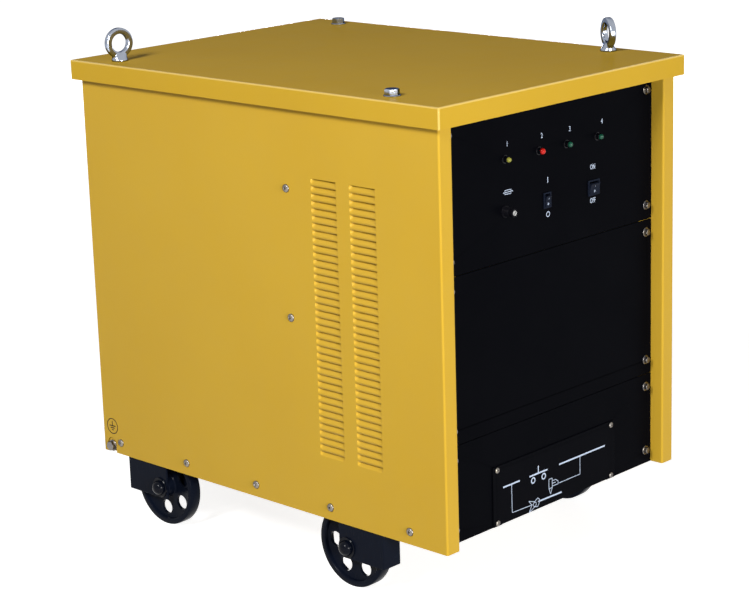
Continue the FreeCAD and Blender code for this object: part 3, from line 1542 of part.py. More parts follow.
side_panel("left_side_panel", -1)
side_panel("right_side_panel", 1)
lid()
control_panel()
front_panel("middle_panel", z_low + s.seam_lower + s.seam_gap / 2,
            z_low + s.seam_upper - s.seam_gap / 2, True)
lower_panel()
terminal_cover()
rear_panel()
fan_guard()
base_tray()
upright_frame()
for side in (-1, 1):
    for end in (-1, 1):
        corner = f"{END_NAMES[end]}_{SIDE_NAMES[side]}"
        wheel_fork(f"{corner}_fork", side, end)
        wheel(f"{corner}_wheel", side, end)
axle_bolts()
lifting_eye("front_lifting_eye", lid_bolts[0], s.front_eye_turn)
lifting_eye("rear_lifting_eye", lid_bolts[1], s.rear_eye_turn)
lid_hex_bolts()
panel_screws()
earth_terminal()
lamp("air_lamp", s.lamp_air_x)
lamp("phase_lamp", s.lamp_phase_x)
lamp("cutting_lamp", s.lamp_cutting_x)
lamp("power_lamp", s.lamp_power_x)
rocker_switch("mode", s.mode_x, s.mode_width)
rocker_switch("main", s.main_x, s.main_width)
fuse_holder()
cable_gland()
air_valve()
equipment_shelf()
transformer()
output_reactor()
rectifier()
contactor()
control_board()
terminal_board()
cooling_fan()

doc.recompute()
for item in doc.Objects:
    if any(mark in item.State for mark in ("Invalid", "Error")):
        raise RuntimeError(f"{item.Name} did not rebuild")
for item in SUBPARTS:
    if item.Shape.isNull() or not item.Shape.isValid() or not item.Shape.Solids:
        raise RuntimeError(f"{item.Label} has no valid solid")

os.makedirs("parts", exist_ok=True)
for item in SUBPARTS:
    item.Shape.exportStep(f"parts/{item.Label}.step")
print(len(SUBPARTS), "sub-parts,", sum(len(item.Shape.Solids) for item in SUBPARTS), "solids")
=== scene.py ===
# %% [markdown]
# # An air plasma cutter on four small wheels
#
# The imported CAD model is the frame of this scene. It holds every solid at its real size, in metres,
# with +Z up, the front panels facing -Y and the floor at z = 0. Blender only dresses it, so the
# first cell loads it.

# %% Load the frame
import math

import bmesh
import bpy
from mathutils import Matrix, Vector


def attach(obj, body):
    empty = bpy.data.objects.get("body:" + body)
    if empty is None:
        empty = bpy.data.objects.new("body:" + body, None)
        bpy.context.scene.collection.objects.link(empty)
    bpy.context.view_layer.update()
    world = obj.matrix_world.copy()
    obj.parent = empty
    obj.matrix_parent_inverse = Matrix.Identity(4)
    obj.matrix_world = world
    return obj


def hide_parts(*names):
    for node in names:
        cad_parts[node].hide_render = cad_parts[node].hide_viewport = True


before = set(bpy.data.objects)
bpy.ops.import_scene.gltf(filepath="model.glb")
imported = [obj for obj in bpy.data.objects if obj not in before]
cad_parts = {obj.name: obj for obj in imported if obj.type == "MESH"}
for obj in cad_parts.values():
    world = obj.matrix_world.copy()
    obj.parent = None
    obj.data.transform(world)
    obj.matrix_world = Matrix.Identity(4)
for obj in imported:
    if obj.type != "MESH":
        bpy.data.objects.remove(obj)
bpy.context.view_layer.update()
MM = 0.001

# %% [markdown]
# The photograph was taken from the front left corner, a little above the lid, with a long lens.
# The camera is set by its place and three angles, which is easier to read than a matrix: azimuth is
# how far it has gone round from the front, elevation is how far it looks down, roll is its tilt.

# %% Camera at the photograph's angle
AZIMUTH = math.radians(46.153)
ELEVATION = math.radians(14.892)
ROLL = math.radians(-1.732)
EYE = Vector((-2.1701, -2.0772, 1.1216))

ahead = Vector((math.sin(AZIMUTH) * math.cos(ELEVATION), math.cos(AZIMUTH) * math.cos(ELEVATION),
                -math.sin(ELEVATION)))
right = ahead.cross(Vector((0, 0, 1))).normalized()
up = right.cross(ahead)
rolled_right = math.cos(ROLL) * right + math.sin(ROLL) * up
rolled_up = math.cos(ROLL) * up - math.sin(ROLL) * right
turn = Matrix((rolled_right, rolled_up, -ahead)).transposed()

camera = bpy.data.objects.new("camera", bpy.data.cameras.new("camera"))
camera.data.lens = 105.1
camera.data.sensor_width = 36
camera.data.clip_end = 50
camera.matrix_world = Matrix.Translation(EYE) @ turn.to_4x4()
bpy.context.collection.objects.link(camera)
bpy.context.scene.camera = camera
bpy.context.scene.view_settings.view_transform = "Standard"
print("camera at", [round(v, 3) for v in EYE])

# %% [markdown]
# Materials and the world are trees of nodes, which are long to write out one by one. This helper
# adds a node and fills its sockets: a number is written into a socket, and another node's output
# is linked to it. An underscore stands for a space in a socket's name, or starts its number.

# %% Node helpers
def blank_tree(owner):
    """The emptied node tree of a material or a world."""
    owner.use_nodes = True
    owner.node_tree.nodes.clear()
    return owner.node_tree


def add(tree, kind, **settings):
    """Adds a node. A setting is one of its properties, or the value or the source of a socket."""
    node = tree.nodes.new(f"ShaderNode{kind}")
    for key, value in settings.items():
        if hasattr(node, key) and key not in node.inputs:
            setattr(node, key, value)
            continue
        socket = node.inputs[int(key[1:])] if key[0] == "_" else node.inputs[key.replace("_", " ")]
        if isinstance(value, bpy.types.NodeSocket):
            tree.links.new(value, socket)
        else:
            socket.default_value = value
    return node


def maths(tree, operation, first, second=0.0, clamp=False):
    """The result socket of one sum."""
    node = add(tree, "Math", operation=operation, use_clamp=clamp, _0=first, _1=second)
    return node.outputs[0]


print("node helpers ready")

# %% [markdown]
# A workshop product shot has a white backdrop. The floor and the world are white only for the
# camera and for reflections, through Light Path. For other rays the floor is dark, so that little
# light comes back up under the louvres' lips. It is paler further out, so that no horizon shows,
# and its middle keeps the shadow.

# %% Floor and world
WHITE = (1, 1, 1, 1)


def seen_ray(tree):
    """One where the camera, a reflection or a refraction looks, else nought."""
    path = add(tree, "LightPath").outputs
    mirrored = maths(tree, "MAXIMUM", path["Is Glossy Ray"], path["Is Transmission Ray"])
    return maths(tree, "MAXIMUM", path["Is Camera Ray"], mirrored)


world = bpy.data.worlds.new("studio")
bpy.context.scene.world = world
tree = blank_tree(world)
soft = add(tree, "Background", Color=WHITE, Strength=0.09)
white = add(tree, "Background", Color=WHITE, Strength=1.0)
sky = add(tree, "MixShader", _0=seen_ray(tree), _1=soft.outputs[0], _2=white.outputs[0])
add(tree, "OutputWorld", Surface=sky.outputs[0])

floor_bm = bmesh.new()
bmesh.ops.create_grid(floor_bm, x_segments=1, y_segments=1, size=9)
floor_mesh = bpy.data.meshes.new("floor")
floor_bm.to_mesh(floor_mesh)
floor = bpy.data.objects.new("floor", floor_mesh)
bpy.context.collection.objects.link(floor)

floor_paint = bpy.data.materials.new("pale_floor")
tree = blank_tree(floor_paint)
seen = seen_ray(tree)
shade = add(tree, "MapRange", Value=seen, To_Min=0.20, To_Max=0.80)
matt = add(tree, "BsdfDiffuse", Color=shade.outputs[0])
reach = add(tree, "VectorMath", operation="LENGTH", _0=add(tree, "TexCoord").outputs["Object"])
paler = add(tree, "MapRange", Value=reach.outputs["Value"], From_Min=1.2, From_Max=3.6, To_Min=0.83)
glow = add(tree, "Emission", Strength=maths(tree, "MULTIPLY", seen, paler.outputs[0]))
both = add(tree, "AddShader", _0=matt.outputs[0], _1=glow.outputs[0])
add(tree, "OutputMaterial", Surface=both.outputs[0])
floor_mesh.materials.append(floor_paint)
print("studio:", world.name, floor_paint.name)

# %% [markdown]
# The front flange is the brightest face in the photograph and the lid is the darkest, so the main
# lamp stands low in front. A high one on the left grazes the wall steeply enough to shade the
# louvres, and a low one behind, under the lid's level, keeps the rear readable. All of them are
# wide, which softens their shadows.

# %% Lamps
MIDDLE = Vector((0, 0, 0.38))


def lamp(name, place, width, height, watts):
    """A soft rectangular lamp that faces the middle of the machine."""
    data = bpy.data.lights.new(name, "AREA")
    data.shape = "RECTANGLE"
    data.size = width
    data.size_y = height
    data.energy = watts
    body = bpy.data.objects.new(name, data)
    body.location = place
    body.rotation_euler = (MIDDLE - Vector(place)).to_track_quat("-Z", "Y").to_euler()
    bpy.context.collection.objects.link(body)


lamp("front_lamp", (-1.2, -3.8, 0.75), 1.4, 1.0, 128)
lamp("left_lamp", (-3.2, -0.7, 2.75), 1.1, 1.1, 111)
lamp("rear_lamp", (3.2, 3.0, 0.3), 1.4, 0.5, 60)

# %% [markdown]
# Every own piece is drawn in millimetres with bmesh, in the row frame, and scaled to metres once,
# so a number here is the number a drawing would give. A lathe and a prism make most shapes of a
# sheet metal product. Directions use the same turns as the CAD, so a screw drawn along +Z can be
# put on any panel.

# %% Drawing helpers
TURNS = {
    "+Z": (0, "X"),
    "-Z": (180, "X"),
    "+X": (90, "Y"),
    "-X": (-90, "Y"),
    "+Y": (-90, "X"),
    "-Y": (90, "X"),
}


def aim(x, y, z, direction="+Z", spin=0.0):
    """Stands a piece at a point in millimetres, with its own +Z along a direction."""
    angle, axis = TURNS[direction]
    turn = Matrix.Rotation(math.radians(angle), 4, axis)
    return Matrix.Translation((x, y, z)) @ turn @ Matrix.Rotation(math.radians(spin), 4, "Z")


def lathe(bm, profile, place, steps=48, ring=False):
    """Turns (radius, height) points round the place's own Z. A ring's profile closes on itself."""
    loops = []
    for radius, height in profile:
        angles = [math.tau * i / steps for i in range(steps if radius else 1)]
        points = [Vector((radius * math.cos(a), radius * math.sin(a), height)) for a in angles]
        loops.append([bm.verts.new(place @ point) for point in points])
    pairs = list(zip(loops, loops[1:]))
    if ring:
        pairs.append((loops[-1], loops[0]))
    for low, high in pairs:
        for i in range(steps):
            j = (i + 1) % steps
            below = [low[i % len(low)], low[j % len(low)]]
            above = [high[j % len(high)], high[i % len(high)]]
            bm.faces.new(list(dict.fromkeys(below + above)))
    if not ring:
        for loop in (loops[0], loops[-1]):
            if len(loop) > 1:
                bm.faces.new(loop)


def skin(bm, loops, place=Matrix(), ring=False):
    """Joins loops with as many points each by faces. The ends are closed, or meet in a ring."""
    rows = [[bm.verts.new(place @ Vector(point)) for point in loop] for loop in loops]
    for low, high in zip(rows, rows[1:] + rows[:1] if ring else rows[1:]):
        for i in range(len(low)):
            j = (i + 1) % len(low)
            bm.faces.new((low[i], low[j], high[j], high[i]))
    if not ring:
        bm.faces.new(rows[0][::-1])
        bm.faces.new(rows[-1])


def prism(bm, outline, low, high, place=Matrix()):
    """Raises a closed outline of (x, y) points from one height to another."""
    skin(bm, [[(x, y, z) for x, y in outline] for z in (low, high)], place)


def block(bm, low, high):
    """A box between two corners."""
    outline = [(low[0], low[1]), (high[0], low[1]), (high[0], high[1]), (low[0], high[1])]
    prism(bm, outline, low[2], high[2])


def crown(radius, low, rise, step):
    """Lathe points of a domed end, from its rim to just short of its top, a step in degrees."""
    angles = [math.radians(a) for a in range(0, 90, step)]
    return [(radius * math.cos(a), low + rise * math.sin(a)) for a in angles]


def arc(x, y, radius, start, end, steps):
    """Points of an arc, with its angles in degrees."""
    angles = [math.radians(start + (end - start) * i / steps) for i in range(steps + 1)]
    return [(x + radius * math.cos(a), y + radius * math.sin(a)) for a in angles]


print("drawing helpers ready")

# %% [markdown]
# A drawn shape becomes a piece by getting its finish, the body it moves with and the CAD nodes that
# it stands for. No real edge is quite sharp, so edges are either rounded with a bevel, or drawn with
# their roundings in the profile. Screws and other repeated heads are stamped: one master is drawn,
# and its copies make one piece.

# %% Piece helpers
def new_piece(name, bm, finish, slot=None, body="body", stands_for=(), soften=0.0, crease=30):
    """Makes a piece of a bmesh in millimetres. Edges past the crease angle are sharp or rounded."""
    bmesh.ops.scale(bm, vec=(MM, MM, MM), verts=bm.verts)
    bmesh.ops.recalc_face_normals(bm, faces=bm.faces)
    mesh = bpy.data.meshes.new(name)
    bm.to_mesh(mesh)
    bm.free()
    mesh.shade_smooth()
    mesh.materials.append(finish)
    piece = bpy.data.objects.new(name, mesh)
    bpy.context.collection.objects.link(piece)
    if soften:
        round_edges(piece, soften, crease)
    else:
        mesh.set_sharp_from_angle(angle=math.radians(crease))
    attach(piece, body)
    if stands_for:
        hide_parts(*stands_for)
    return piece


def round_edges(piece, width, crease=30):
    """Rounds every edge sharper than an angle, as a press, a mould or a coat of paint does."""
    bevel = piece.modifiers.new("rounded_edges", "BEVEL")
    bevel.width = width * MM
    bevel.segments = 2
    bevel.limit_method = "ANGLE"
    bevel.angle_limit = math.radians(crease)
    bevel.harden_normals = True


def carved(bm, cutter):
    """The bmesh with another taken out of it."""
    made = []
    for part in (bm, cutter):
        bmesh.ops.recalc_face_normals(part, faces=part.faces)
        mesh = bpy.data.meshes.new("carving")
        part.to_mesh(mesh)
        part.free()
        made.append(bpy.data.objects.new("carving", mesh))
        bpy.context.collection.objects.link(made[-1])
    cut = made[0].modifiers.new("cut", "BOOLEAN")
    cut.object = made[1]
    cut.solver = "EXACT"
    seen = made[0].evaluated_get(bpy.context.evaluated_depsgraph_get())
    result = bmesh.new()
    result.from_mesh(seen.to_mesh())
    seen.to_mesh_clear()
    for part in made:
        bpy.data.objects.remove(part)
    return result


def stamped(bm, master, places):
    """Copies a drawn master into a bmesh at each place, and frees the master."""
    for place in places:
        twin = master.copy()
        twin.transform(place)
        mesh = bpy.data.meshes.new("stamp")
        twin.to_mesh(mesh)
        twin.free()
        bm.from_mesh(mesh)
        bpy.data.meshes.remove(mesh)
    master.free()


def stamped_piece(name, master, places, finish, slot, node, crease):
    """A piece made of a master's copies, one at each place."""
    bm = bmesh.new()
    stamped(bm, master, places)
    return new_piece(name, bm, finish, slot, stands_for=[node], crease=crease)


def turned_piece(name, profile, place, steps, finish, slot, **more):
    """A piece turned from one profile."""
    bm = bmesh.new()
    lathe(bm, profile, place, steps)
    return new_piece(name, bm, finish, slot, **more)


print("piece helpers ready")

# %% [markdown]
# Paint, cast iron and plastic share a few surface effects. Each is a node group that puts out a
# height or a mask, built once here: the pebbled skin of sprayed paint, dust that settles on what
# faces up, fine handling marks, and cloudy variation of tone.

# %% Shared surface effects
def effect_group(name, inputs, output):
    """An empty node group with named number inputs and one number output."""
    group = bpy.data.node_groups.new(name, "ShaderNodeTree")
    for label, value in inputs:
        socket = group.interface.new_socket(label, in_out="INPUT", socket_type="NodeSocketFloat")
        socket.default_value = value
    group.interface.new_socket(output, in_out="OUTPUT", socket_type="NodeSocketFloat")
    return group, group.nodes.new("NodeGroupInput"), group.nodes.new("NodeGroupOutput")


def place_on_part(tree):
    """The surface point in the part's own metres, so a pattern keeps its real size."""
    return add(tree, "TexCoord").outputs["Object"]


def noise(tree, scale, detail=2.0, stretch=None):
    """Cloudy noise over the part. Stretch squeezes it along axes, for brushed or drawn metal."""
    where = place_on_part(tree)
    if stretch:
        where = add(tree, "Mapping", Vector=where, Scale=stretch).outputs[0]
    return add(tree, "TexNoise", Vector=where, Scale=scale, Detail=detail).outputs[0]


peel, entry, leave = effect_group("orange_peel", [("Scale", 900), ("Waviness", 0.4)], "Height")
fine = noise(peel, entry.outputs["Scale"], 2)
broad = noise(peel, 9.0, 1)
wavy = maths(peel, "MULTIPLY", broad, entry.outputs["Waviness"])
peel.links.new(maths(peel, "ADD", fine, wavy), leave.inputs[0])

dust, entry, leave = effect_group("settled_dust", [("Amount", 0.3), ("Scale", 60)], "Mask")
facing = add(dust, "SeparateXYZ", _0=add(dust, "NewGeometry").outputs["Normal"]).outputs["Z"]
upward = maths(dust, "ADD", maths(dust, "MULTIPLY", facing, 0.5), 0.5, True)
patchy = maths(dust, "MULTIPLY", noise(dust, entry.outputs["Scale"], 6), upward)
shown = maths(dust, "MULTIPLY", patchy, entry.outputs["Amount"], True)
dust.links.new(shown, leave.inputs[0])

marks, entry, leave = effect_group("handling_marks", [("Amount", 0.3), ("Scale", 120)], "Mask")
streaks = noise(marks, entry.outputs["Scale"], 4, (1.0, 6.0, 1.4))
edge = add(marks, "MapRange", Value=streaks, From_Min=0.58, From_Max=0.72).outputs[0]
marks.links.new(maths(marks, "MULTIPLY", edge, entry.outputs["Amount"]), leave.inputs[0])

tone, entry, leave = effect_group("cloudy_tone", [("Scale", 6), ("Contrast", 0.5)], "Mask")
cloud = maths(tone, "SUBTRACT", noise(tone, entry.outputs["Scale"], 3), 0.5)
spread = maths(tone, "MULTIPLY", cloud, entry.outputs["Contrast"])
tone.links.new(maths(tone, "ADD", spread, 0.5, True), leave.inputs[0])
print("effect groups:", [g.name for g in bpy.data.node_groups])

# %% [markdown]
# A finish is one Principled shader with its fixed numbers on its own sockets, and colour, roughness
# and bump fed by the effects. The helpers below make the empty finish and drop an effect into it.

# %% Finish helpers
def new_finish(name, **values):
    """A material with one Principled shader. Values are set on its own sockets."""
    finish = bpy.data.materials.new(name)
    tree = blank_tree(finish)
    shader = add(tree, "BsdfPrincipled", **values)
    add(tree, "OutputMaterial", Surface=shader.outputs[0])
    return finish, tree, shader


def effect(tree, name, **values):
    """Drops a shared effect into a material and gives its output socket."""
    return add(tree, "Group", node_tree=bpy.data.node_groups[name], **values).outputs[0]


def blend_colours(tree, mask, first, second):
    """A colour that goes from the first to the second with a mask. Each may be a socket."""
    ends = [c if isinstance(c, bpy.types.NodeSocket) else (*c, 1) for c in (first, second)]
    return add(tree, "Mix", data_type="RGBA", _0=mask, _6=ends[0], _7=ends[1]).outputs[2]


def colour_from(tree, shader, colour):
    tree.links.new(colour, shader.inputs["Base Color"])


def roughness_from(tree, shader, mask, low, high):
    """Roughness that goes from low to high with a mask."""
    spread = add(tree, "MapRange", Value=mask, To_Min=low, To_Max=high)
    tree.links.new(spread.outputs[0], shader.inputs["Roughness"])


def bump_from(tree, shader, height, depth):
    """Bumps of a given depth in millimetres."""
    bump = add(tree, "Bump", Height=height, Distance=depth * MM, Strength=1.0)
    tree.links.new(bump.outputs[0], shader.inputs["Normal"])


print("finish helpers ready")

# %% [markdown]
# The cabinet is sprayed in a warm yellow. Sprayed paint is smooth, with a faint pebbled skin that
# breaks reflections up. The studio is far whiter than the hall in which such a machine is
# photographed, so its reflection is kept weak and warm, and weakest on the lid, which is seen at a
# slant, where paint mirrors most. The lid's bends get a paler, glossier yellow: the paler colour is
# a painted highlight along the folds.

# %% Yellow paint
YELLOW = (0.71, 0.445, 0.038)
YELLOW_DEEP = (0.64, 0.380, 0.026)
WARM = (1, 0.86, 0.52, 1)


def yellow_paint(name, level, coat, low, high, depth, colour=YELLOW, deeper=YELLOW_DEEP):
    finish, tree, shader = new_finish(name, Specular_IOR_Level=level, Specular_Tint=WARM,
                                      Coat_Weight=coat, Coat_Roughness=0.16)
    clouds = effect(tree, "cloudy_tone", Scale=5, Contrast=0.8)
    paint = blend_colours(tree, clouds, colour, deeper)
    soil = effect(tree, "settled_dust", Amount=0.10, Scale=35)
    colour_from(tree, shader, blend_colours(tree, soil, paint, (0.45, 0.38, 0.25)))
    rubbed = effect(tree, "handling_marks", Amount=0.5, Scale=60)
    roughness_from(tree, shader, rubbed, low, high)
    bump_from(tree, shader, effect(tree, "orange_peel", Scale=700, Waviness=0.6), depth)
    return finish


side_yellow = yellow_paint("yellow_side_paint", 0.12, 0.0, 0.20, 0.30, 0.012)
lid_yellow = yellow_paint("yellow_lid_paint", 0.0, 0.04, 0.12, 0.20, 0.006)
# The bends' paler yellow is a painted highlight along the lid's folds.
lid_bend_painted_highlight = yellow_paint("yellow_bend_painted_highlight", 0.4, 0.1, 0.16, 0.24, 0.004,
                           (0.80, 0.56, 0.13), (0.74, 0.49, 0.08))
print("paints:", side_yellow.name, lid_yellow.name, lid_bend_painted_highlight.name)

# %% [markdown]
# The front panels are powder coated black: matt, very fine grained, and dark enough to mirror next
# to nothing. Forks and wheels have a bluish black enamel over rough castings, with dust on what
# faces up, and the smooth caps of the axles catch the lamps.

# %% Black paints
def black_paint(name, colour, paler, level, low, high, grain, depth, soil=0.0):
    finish, tree, shader = new_finish(name, Specular_IOR_Level=level)
    clouds = effect(tree, "cloudy_tone", Scale=14, Contrast=1.2)
    paint = blend_colours(tree, clouds, colour, paler)
    dusty = effect(tree, "settled_dust", Amount=soil, Scale=45)
    colour_from(tree, shader, blend_colours(tree, dusty, paint, (0.10, 0.105, 0.12)))
    rubbed = effect(tree, "handling_marks", Amount=0.8, Scale=70)
    roughness_from(tree, shader, rubbed, low, high)
    bump_from(tree, shader, effect(tree, "orange_peel", Scale=grain, Waviness=0.2), depth)
    return finish


panel_black = black_paint("black_panel_coat", (0.0020, 0.0022, 0.0034), (0.0030, 0.0032, 0.0046),
                          0.006, 0.32, 0.46, 1500, 0.02)
cover_black = black_paint("black_cover_coat", (0.0022, 0.0024, 0.0038), (0.0034, 0.0036, 0.0052),
                          0.008, 0.30, 0.42, 1500, 0.02)
fork_black = black_paint("black_fork_enamel", (0.0035, 0.0055, 0.0125), (0.0055, 0.0085, 0.0180),
                         0.03, 0.22, 0.38, 420, 0.04, 0.02)
cap_black = black_paint("black_cap_enamel", (0.0014, 0.0024, 0.0060), (0.0022, 0.0036, 0.0085),
                        0.09, 0.10, 0.16, 420, 0.01, 0.01)
wheel_black = black_paint("black_wheel_enamel", (0.0026, 0.0042, 0.0105), (0.0045, 0.0072, 0.0155),
                          0.035, 0.22, 0.38, 260, 0.07, 0.03)
guard_black = black_paint("black_guard_coat", (0.008, 0.008, 0.009), (0.012, 0.012, 0.013),
                          0.30, 0.30, 0.40, 900, 0.02, 0.08)
print("black finishes: panel, cover, fork, cap, wheel, guard")

# %% [markdown]
# Screws are zinc plated, which gives a soft metal with fine tool marks. The lifting eyes and lid
# bolts are brighter, polished steel. In the photograph their rims and tops are dark, as they
# mirror a dark hall at a slant. A metal's Specular Tint colours just that slanting reflection.

# %% Metals
def plain_metal(name, colour, paler, low, high, scale, depth, stretch=None, slant=(1, 1, 1)):
    finish, tree, shader = new_finish(name, Metallic=1.0, Specular_Tint=(*slant, 1))
    drawn = noise(tree, scale, 4, stretch)
    tint = blend_colours(tree, effect(tree, "cloudy_tone", Scale=90, Contrast=2.0), colour, paler)
    soil = effect(tree, "settled_dust", Amount=0.25, Scale=120)
    colour_from(tree, shader, blend_colours(tree, soil, tint, (0.20, 0.17, 0.13)))
    roughness_from(tree, shader, drawn, low, high)
    bump_from(tree, shader, drawn, depth)
    return finish


zinc = plain_metal("zinc_plate", (0.17, 0.17, 0.19), (0.27, 0.24, 0.19), 0.20, 0.36, 500, 0.02,
                   slant=(0.30, 0.30, 0.34))
bright_steel = plain_metal("bright_steel", (0.30, 0.34, 0.42), (0.42, 0.46, 0.54), 0.12, 0.20, 200,
                           0.003, slant=(0.06, 0.08, 0.14))
brass = plain_metal("brass_fitting", (0.58, 0.42, 0.16), (0.66, 0.50, 0.22), 0.20, 0.38, 400, 0.02)
sink_metal = plain_metal("extruded_aluminium", (0.55, 0.56, 0.58), (0.66, 0.67, 0.69), 0.28, 0.48,
                         300, 0.02, (1, 0.05, 1))
print("metals: zinc, bright steel, brass, aluminium")

# %% [markdown]
# Mouldings come in satin black, the blue-grey of the rockers, and pale grey. The lamp lenses are
# coloured plastic, seen unlit over a dark sleeve, so they are deep in colour and only a little
# glossy.

# %% Plastics and lenses
def moulding(name, colour, paler, low, high, level=0.4, dirt=0.12):
    finish, tree, shader = new_finish(name, Specular_IOR_Level=level)
    clouds = effect(tree, "cloudy_tone", Scale=120, Contrast=1.2)
    soil = effect(tree, "settled_dust", Amount=dirt, Scale=200)
    body_colour = blend_colours(tree, clouds, colour, paler)
    colour_from(tree, shader, blend_colours(tree, soil, body_colour, (0.22, 0.20, 0.17)))
    spark = noise(tree, 2500, 2)
    roughness_from(tree, shader, spark, low, high)
    bump_from(tree, shader, spark, 0.01)
    return finish


black_plastic = moulding("black_moulding", (0.003, 0.003, 0.005), (0.005, 0.005, 0.008),
                         0.22, 0.36, 0.04, 0.02)
gloss_black = moulding("gloss_black_sleeve", (0.003, 0.003, 0.005), (0.005, 0.005, 0.008),
                       0.05, 0.10, 0.16, 0.0)
rocker_plastic = moulding("blue_grey_moulding", (0.006, 0.009, 0.019), (0.009, 0.013, 0.026),
                          0.30, 0.45, 0.03, 0.02)
grey_plastic = moulding("grey_moulding", (0.50, 0.50, 0.49), (0.58, 0.58, 0.57), 0.35, 0.50)
fan_plastic = moulding("fan_moulding", (0.020, 0.020, 0.022), (0.030, 0.030, 0.033), 0.35, 0.50)


def lens_plastic(name, colour, paler):
    finish, tree, shader = new_finish(name, Coat_Weight=0.15, Coat_Roughness=0.05, IOR=1.49,
                                      Specular_IOR_Level=0.2, Transmission_Weight=0.06)
    swirl = effect(tree, "cloudy_tone", Scale=300, Contrast=1.5)
    colour_from(tree, shader, blend_colours(tree, swirl, colour, paler))
    roughness_from(tree, shader, swirl, 0.12, 0.22)
    bump_from(tree, shader, noise(tree, 900, 1), 0.01)
    return finish


yellow_lens = lens_plastic("yellow_lens_plastic", (0.33, 0.32, 0.04), (0.44, 0.43, 0.07))
red_lens = lens_plastic("red_lens_plastic", (0.62, 0.006, 0.002), (0.76, 0.012, 0.004))
green_lens = lens_plastic("green_lens_plastic", (0.004, 0.070, 0.040), (0.008, 0.120, 0.065))
white_ink = moulding("pale_print_ink", (0.55, 0.66, 0.86), (0.68, 0.77, 0.92), 0.45, 0.60, 0.2)
dark_ink = moulding("dark_print_ink", (0.015, 0.012, 0.008), (0.025, 0.020, 0.012),
                    0.45, 0.60, 0.1, 0.02)
print("plastics and inks ready")

# %% [markdown]
# The side walls are folded from 1.5 mm sheet: a wall, a flange, a return that recesses the front
# panels, and a tab for their screws. Such a sheet is drawn as an open line with a radius at each
# corner and raised to a skin. Solidify then gives the skin its thickness, and weighted normals
# keep the large faces looking flat.

# %% Folded sheet
HALF_WIDTH = 240.0
HALF_DEPTH = 337.5
WALL_LOW = 92.0
WALL_HIGH = 667.9
SHEET = 1.5
BEND = 2.5
RETURN_X = 216.0
TAB_Y = 315.5
TAB_END = 190.0


def folded(corners, steps=4):
    """An open line through (x, y, radius) corners, each rounded to its own radius."""
    points = [corners[0][:2]]
    for i in range(1, len(corners) - 1):
        corner, radius = Vector(corners[i][:2]), corners[i][2]
        before = (Vector(corners[i - 1][:2]) - corner).normalized()
        after = (Vector(corners[i + 1][:2]) - corner).normalized()
        half = before.angle(after) / 2
        centre = corner + (before + after).normalized() * (radius / math.sin(half))
        start = corner + before * (radius / math.tan(half)) - centre
        end = corner + after * (radius / math.tan(half)) - centre
        for k in range(steps + 1):
            spoke = start.lerp(end, k / steps).normalized() * radius
            points.append(tuple(centre + spoke))
    points.append(corners[-1][:2])
    return points


def thicken(piece, thickness, outward):
    """Gives a folded skin its sheet thickness, inwards from the face that looks outward."""
    largest = max(piece.data.polygons, key=lambda face: face.area)
    if largest.normal.dot(outward) < 0:
        piece.data.flip_normals()
    sheet = piece.modifiers.new("sheet", "SOLIDIFY")
    sheet.thickness = thickness * MM
    sheet.offset = -1
    even = piece.modifiers.new("flat_walls", "WEIGHTED_NORMAL")
    even.keep_sharp = True


print("walls of", SHEET, "mm sheet")

# %% [markdown]
# Two columns of louvres are pressed into each wall. A louvre is a slit whose lower lip is pushed
# inwards and fades back into the wall. A grid of short rows gives every scoop its round ends. The
# slits stand one above the other, so a column is one strip, and the wall joins on to its edges.

# %% Louvres
LOUVRE_MIDDLES = (-137.3, -205.8)
LOUVRE_COUNT = 39
LOUVRE_PITCH = 9.67
LOWEST_SLIT = 186.2
SCOOP_HEIGHT = 7.2
SCOOP_DEPTH = 4.6
SCOOP_HALF = 22.5
SCOOP_END = 4.5


def scoop_grid(bm, side, middle):
    """One column of louvres, and the chains of points along its front and rear edges."""
    turns = [math.pi / 2 * k for k in (0, 0.35, 0.7, 1.0)]
    ends = [SCOOP_HALF - SCOOP_END * (1 - math.cos(a)) for a in turns]
    shape = [math.sin(a) for a in turns]
    ys = [-e for e in ends] + [-SCOOP_HALF / 3, SCOOP_HALF / 3] + ends[::-1]
    push = shape + [1.0, 1.0] + shape[::-1]
    falls = (0.0, 0.3, 0.6, 0.85, 1.0)
    front_edge, rear_edge, bottom, last = [], [], [], []
    for number in range(LOUVRE_COUNT):
        slit = LOWEST_SLIT + LOUVRE_PITCH * number
        rows = []
        for fall in reversed(falls):
            depth = SCOOP_DEPTH * (1 - fall ** 1.25)
            row = []
            for y, share in zip(ys, push):
                x = (HALF_WIDTH - depth * share) * side
                row.append(bm.verts.new((x, middle + y, slit - SCOOP_HEIGHT * fall)))
            rows.append(row)
        lip = rows[-1]
        above = [bm.verts.new((HALF_WIDTH * side, middle + y, slit)) for y in ys[1:-1]]
        above = [lip[0]] + above + [lip[-1]]
        bottom = bottom or rows[0]
        strip = [last] + rows if last else rows
        for low, high in zip(strip, strip[1:]):
            for i in range(len(ys) - 1):
                bm.faces.new((low[i], low[i + 1], high[i + 1], high[i]))
        front_edge += [row[0] for row in rows]
        rear_edge += [row[-1] for row in rows]
        last = above
    return front_edge, rear_edge, bottom, last


print("louvres in a wall:", LOUVRE_COUNT * len(LOUVRE_MIDDLES))

# %% [markdown]
# The flat of a wall is then filled with a few large many-sided faces, from flange to flange round
# the louvres. At its foot the left wall has a notch with a round top, for the earth bolt.

# %% Side walls
NOTCH_Y = 319.0
NOTCH_HALF = 9.0
NOTCH_CROWN = 105.0


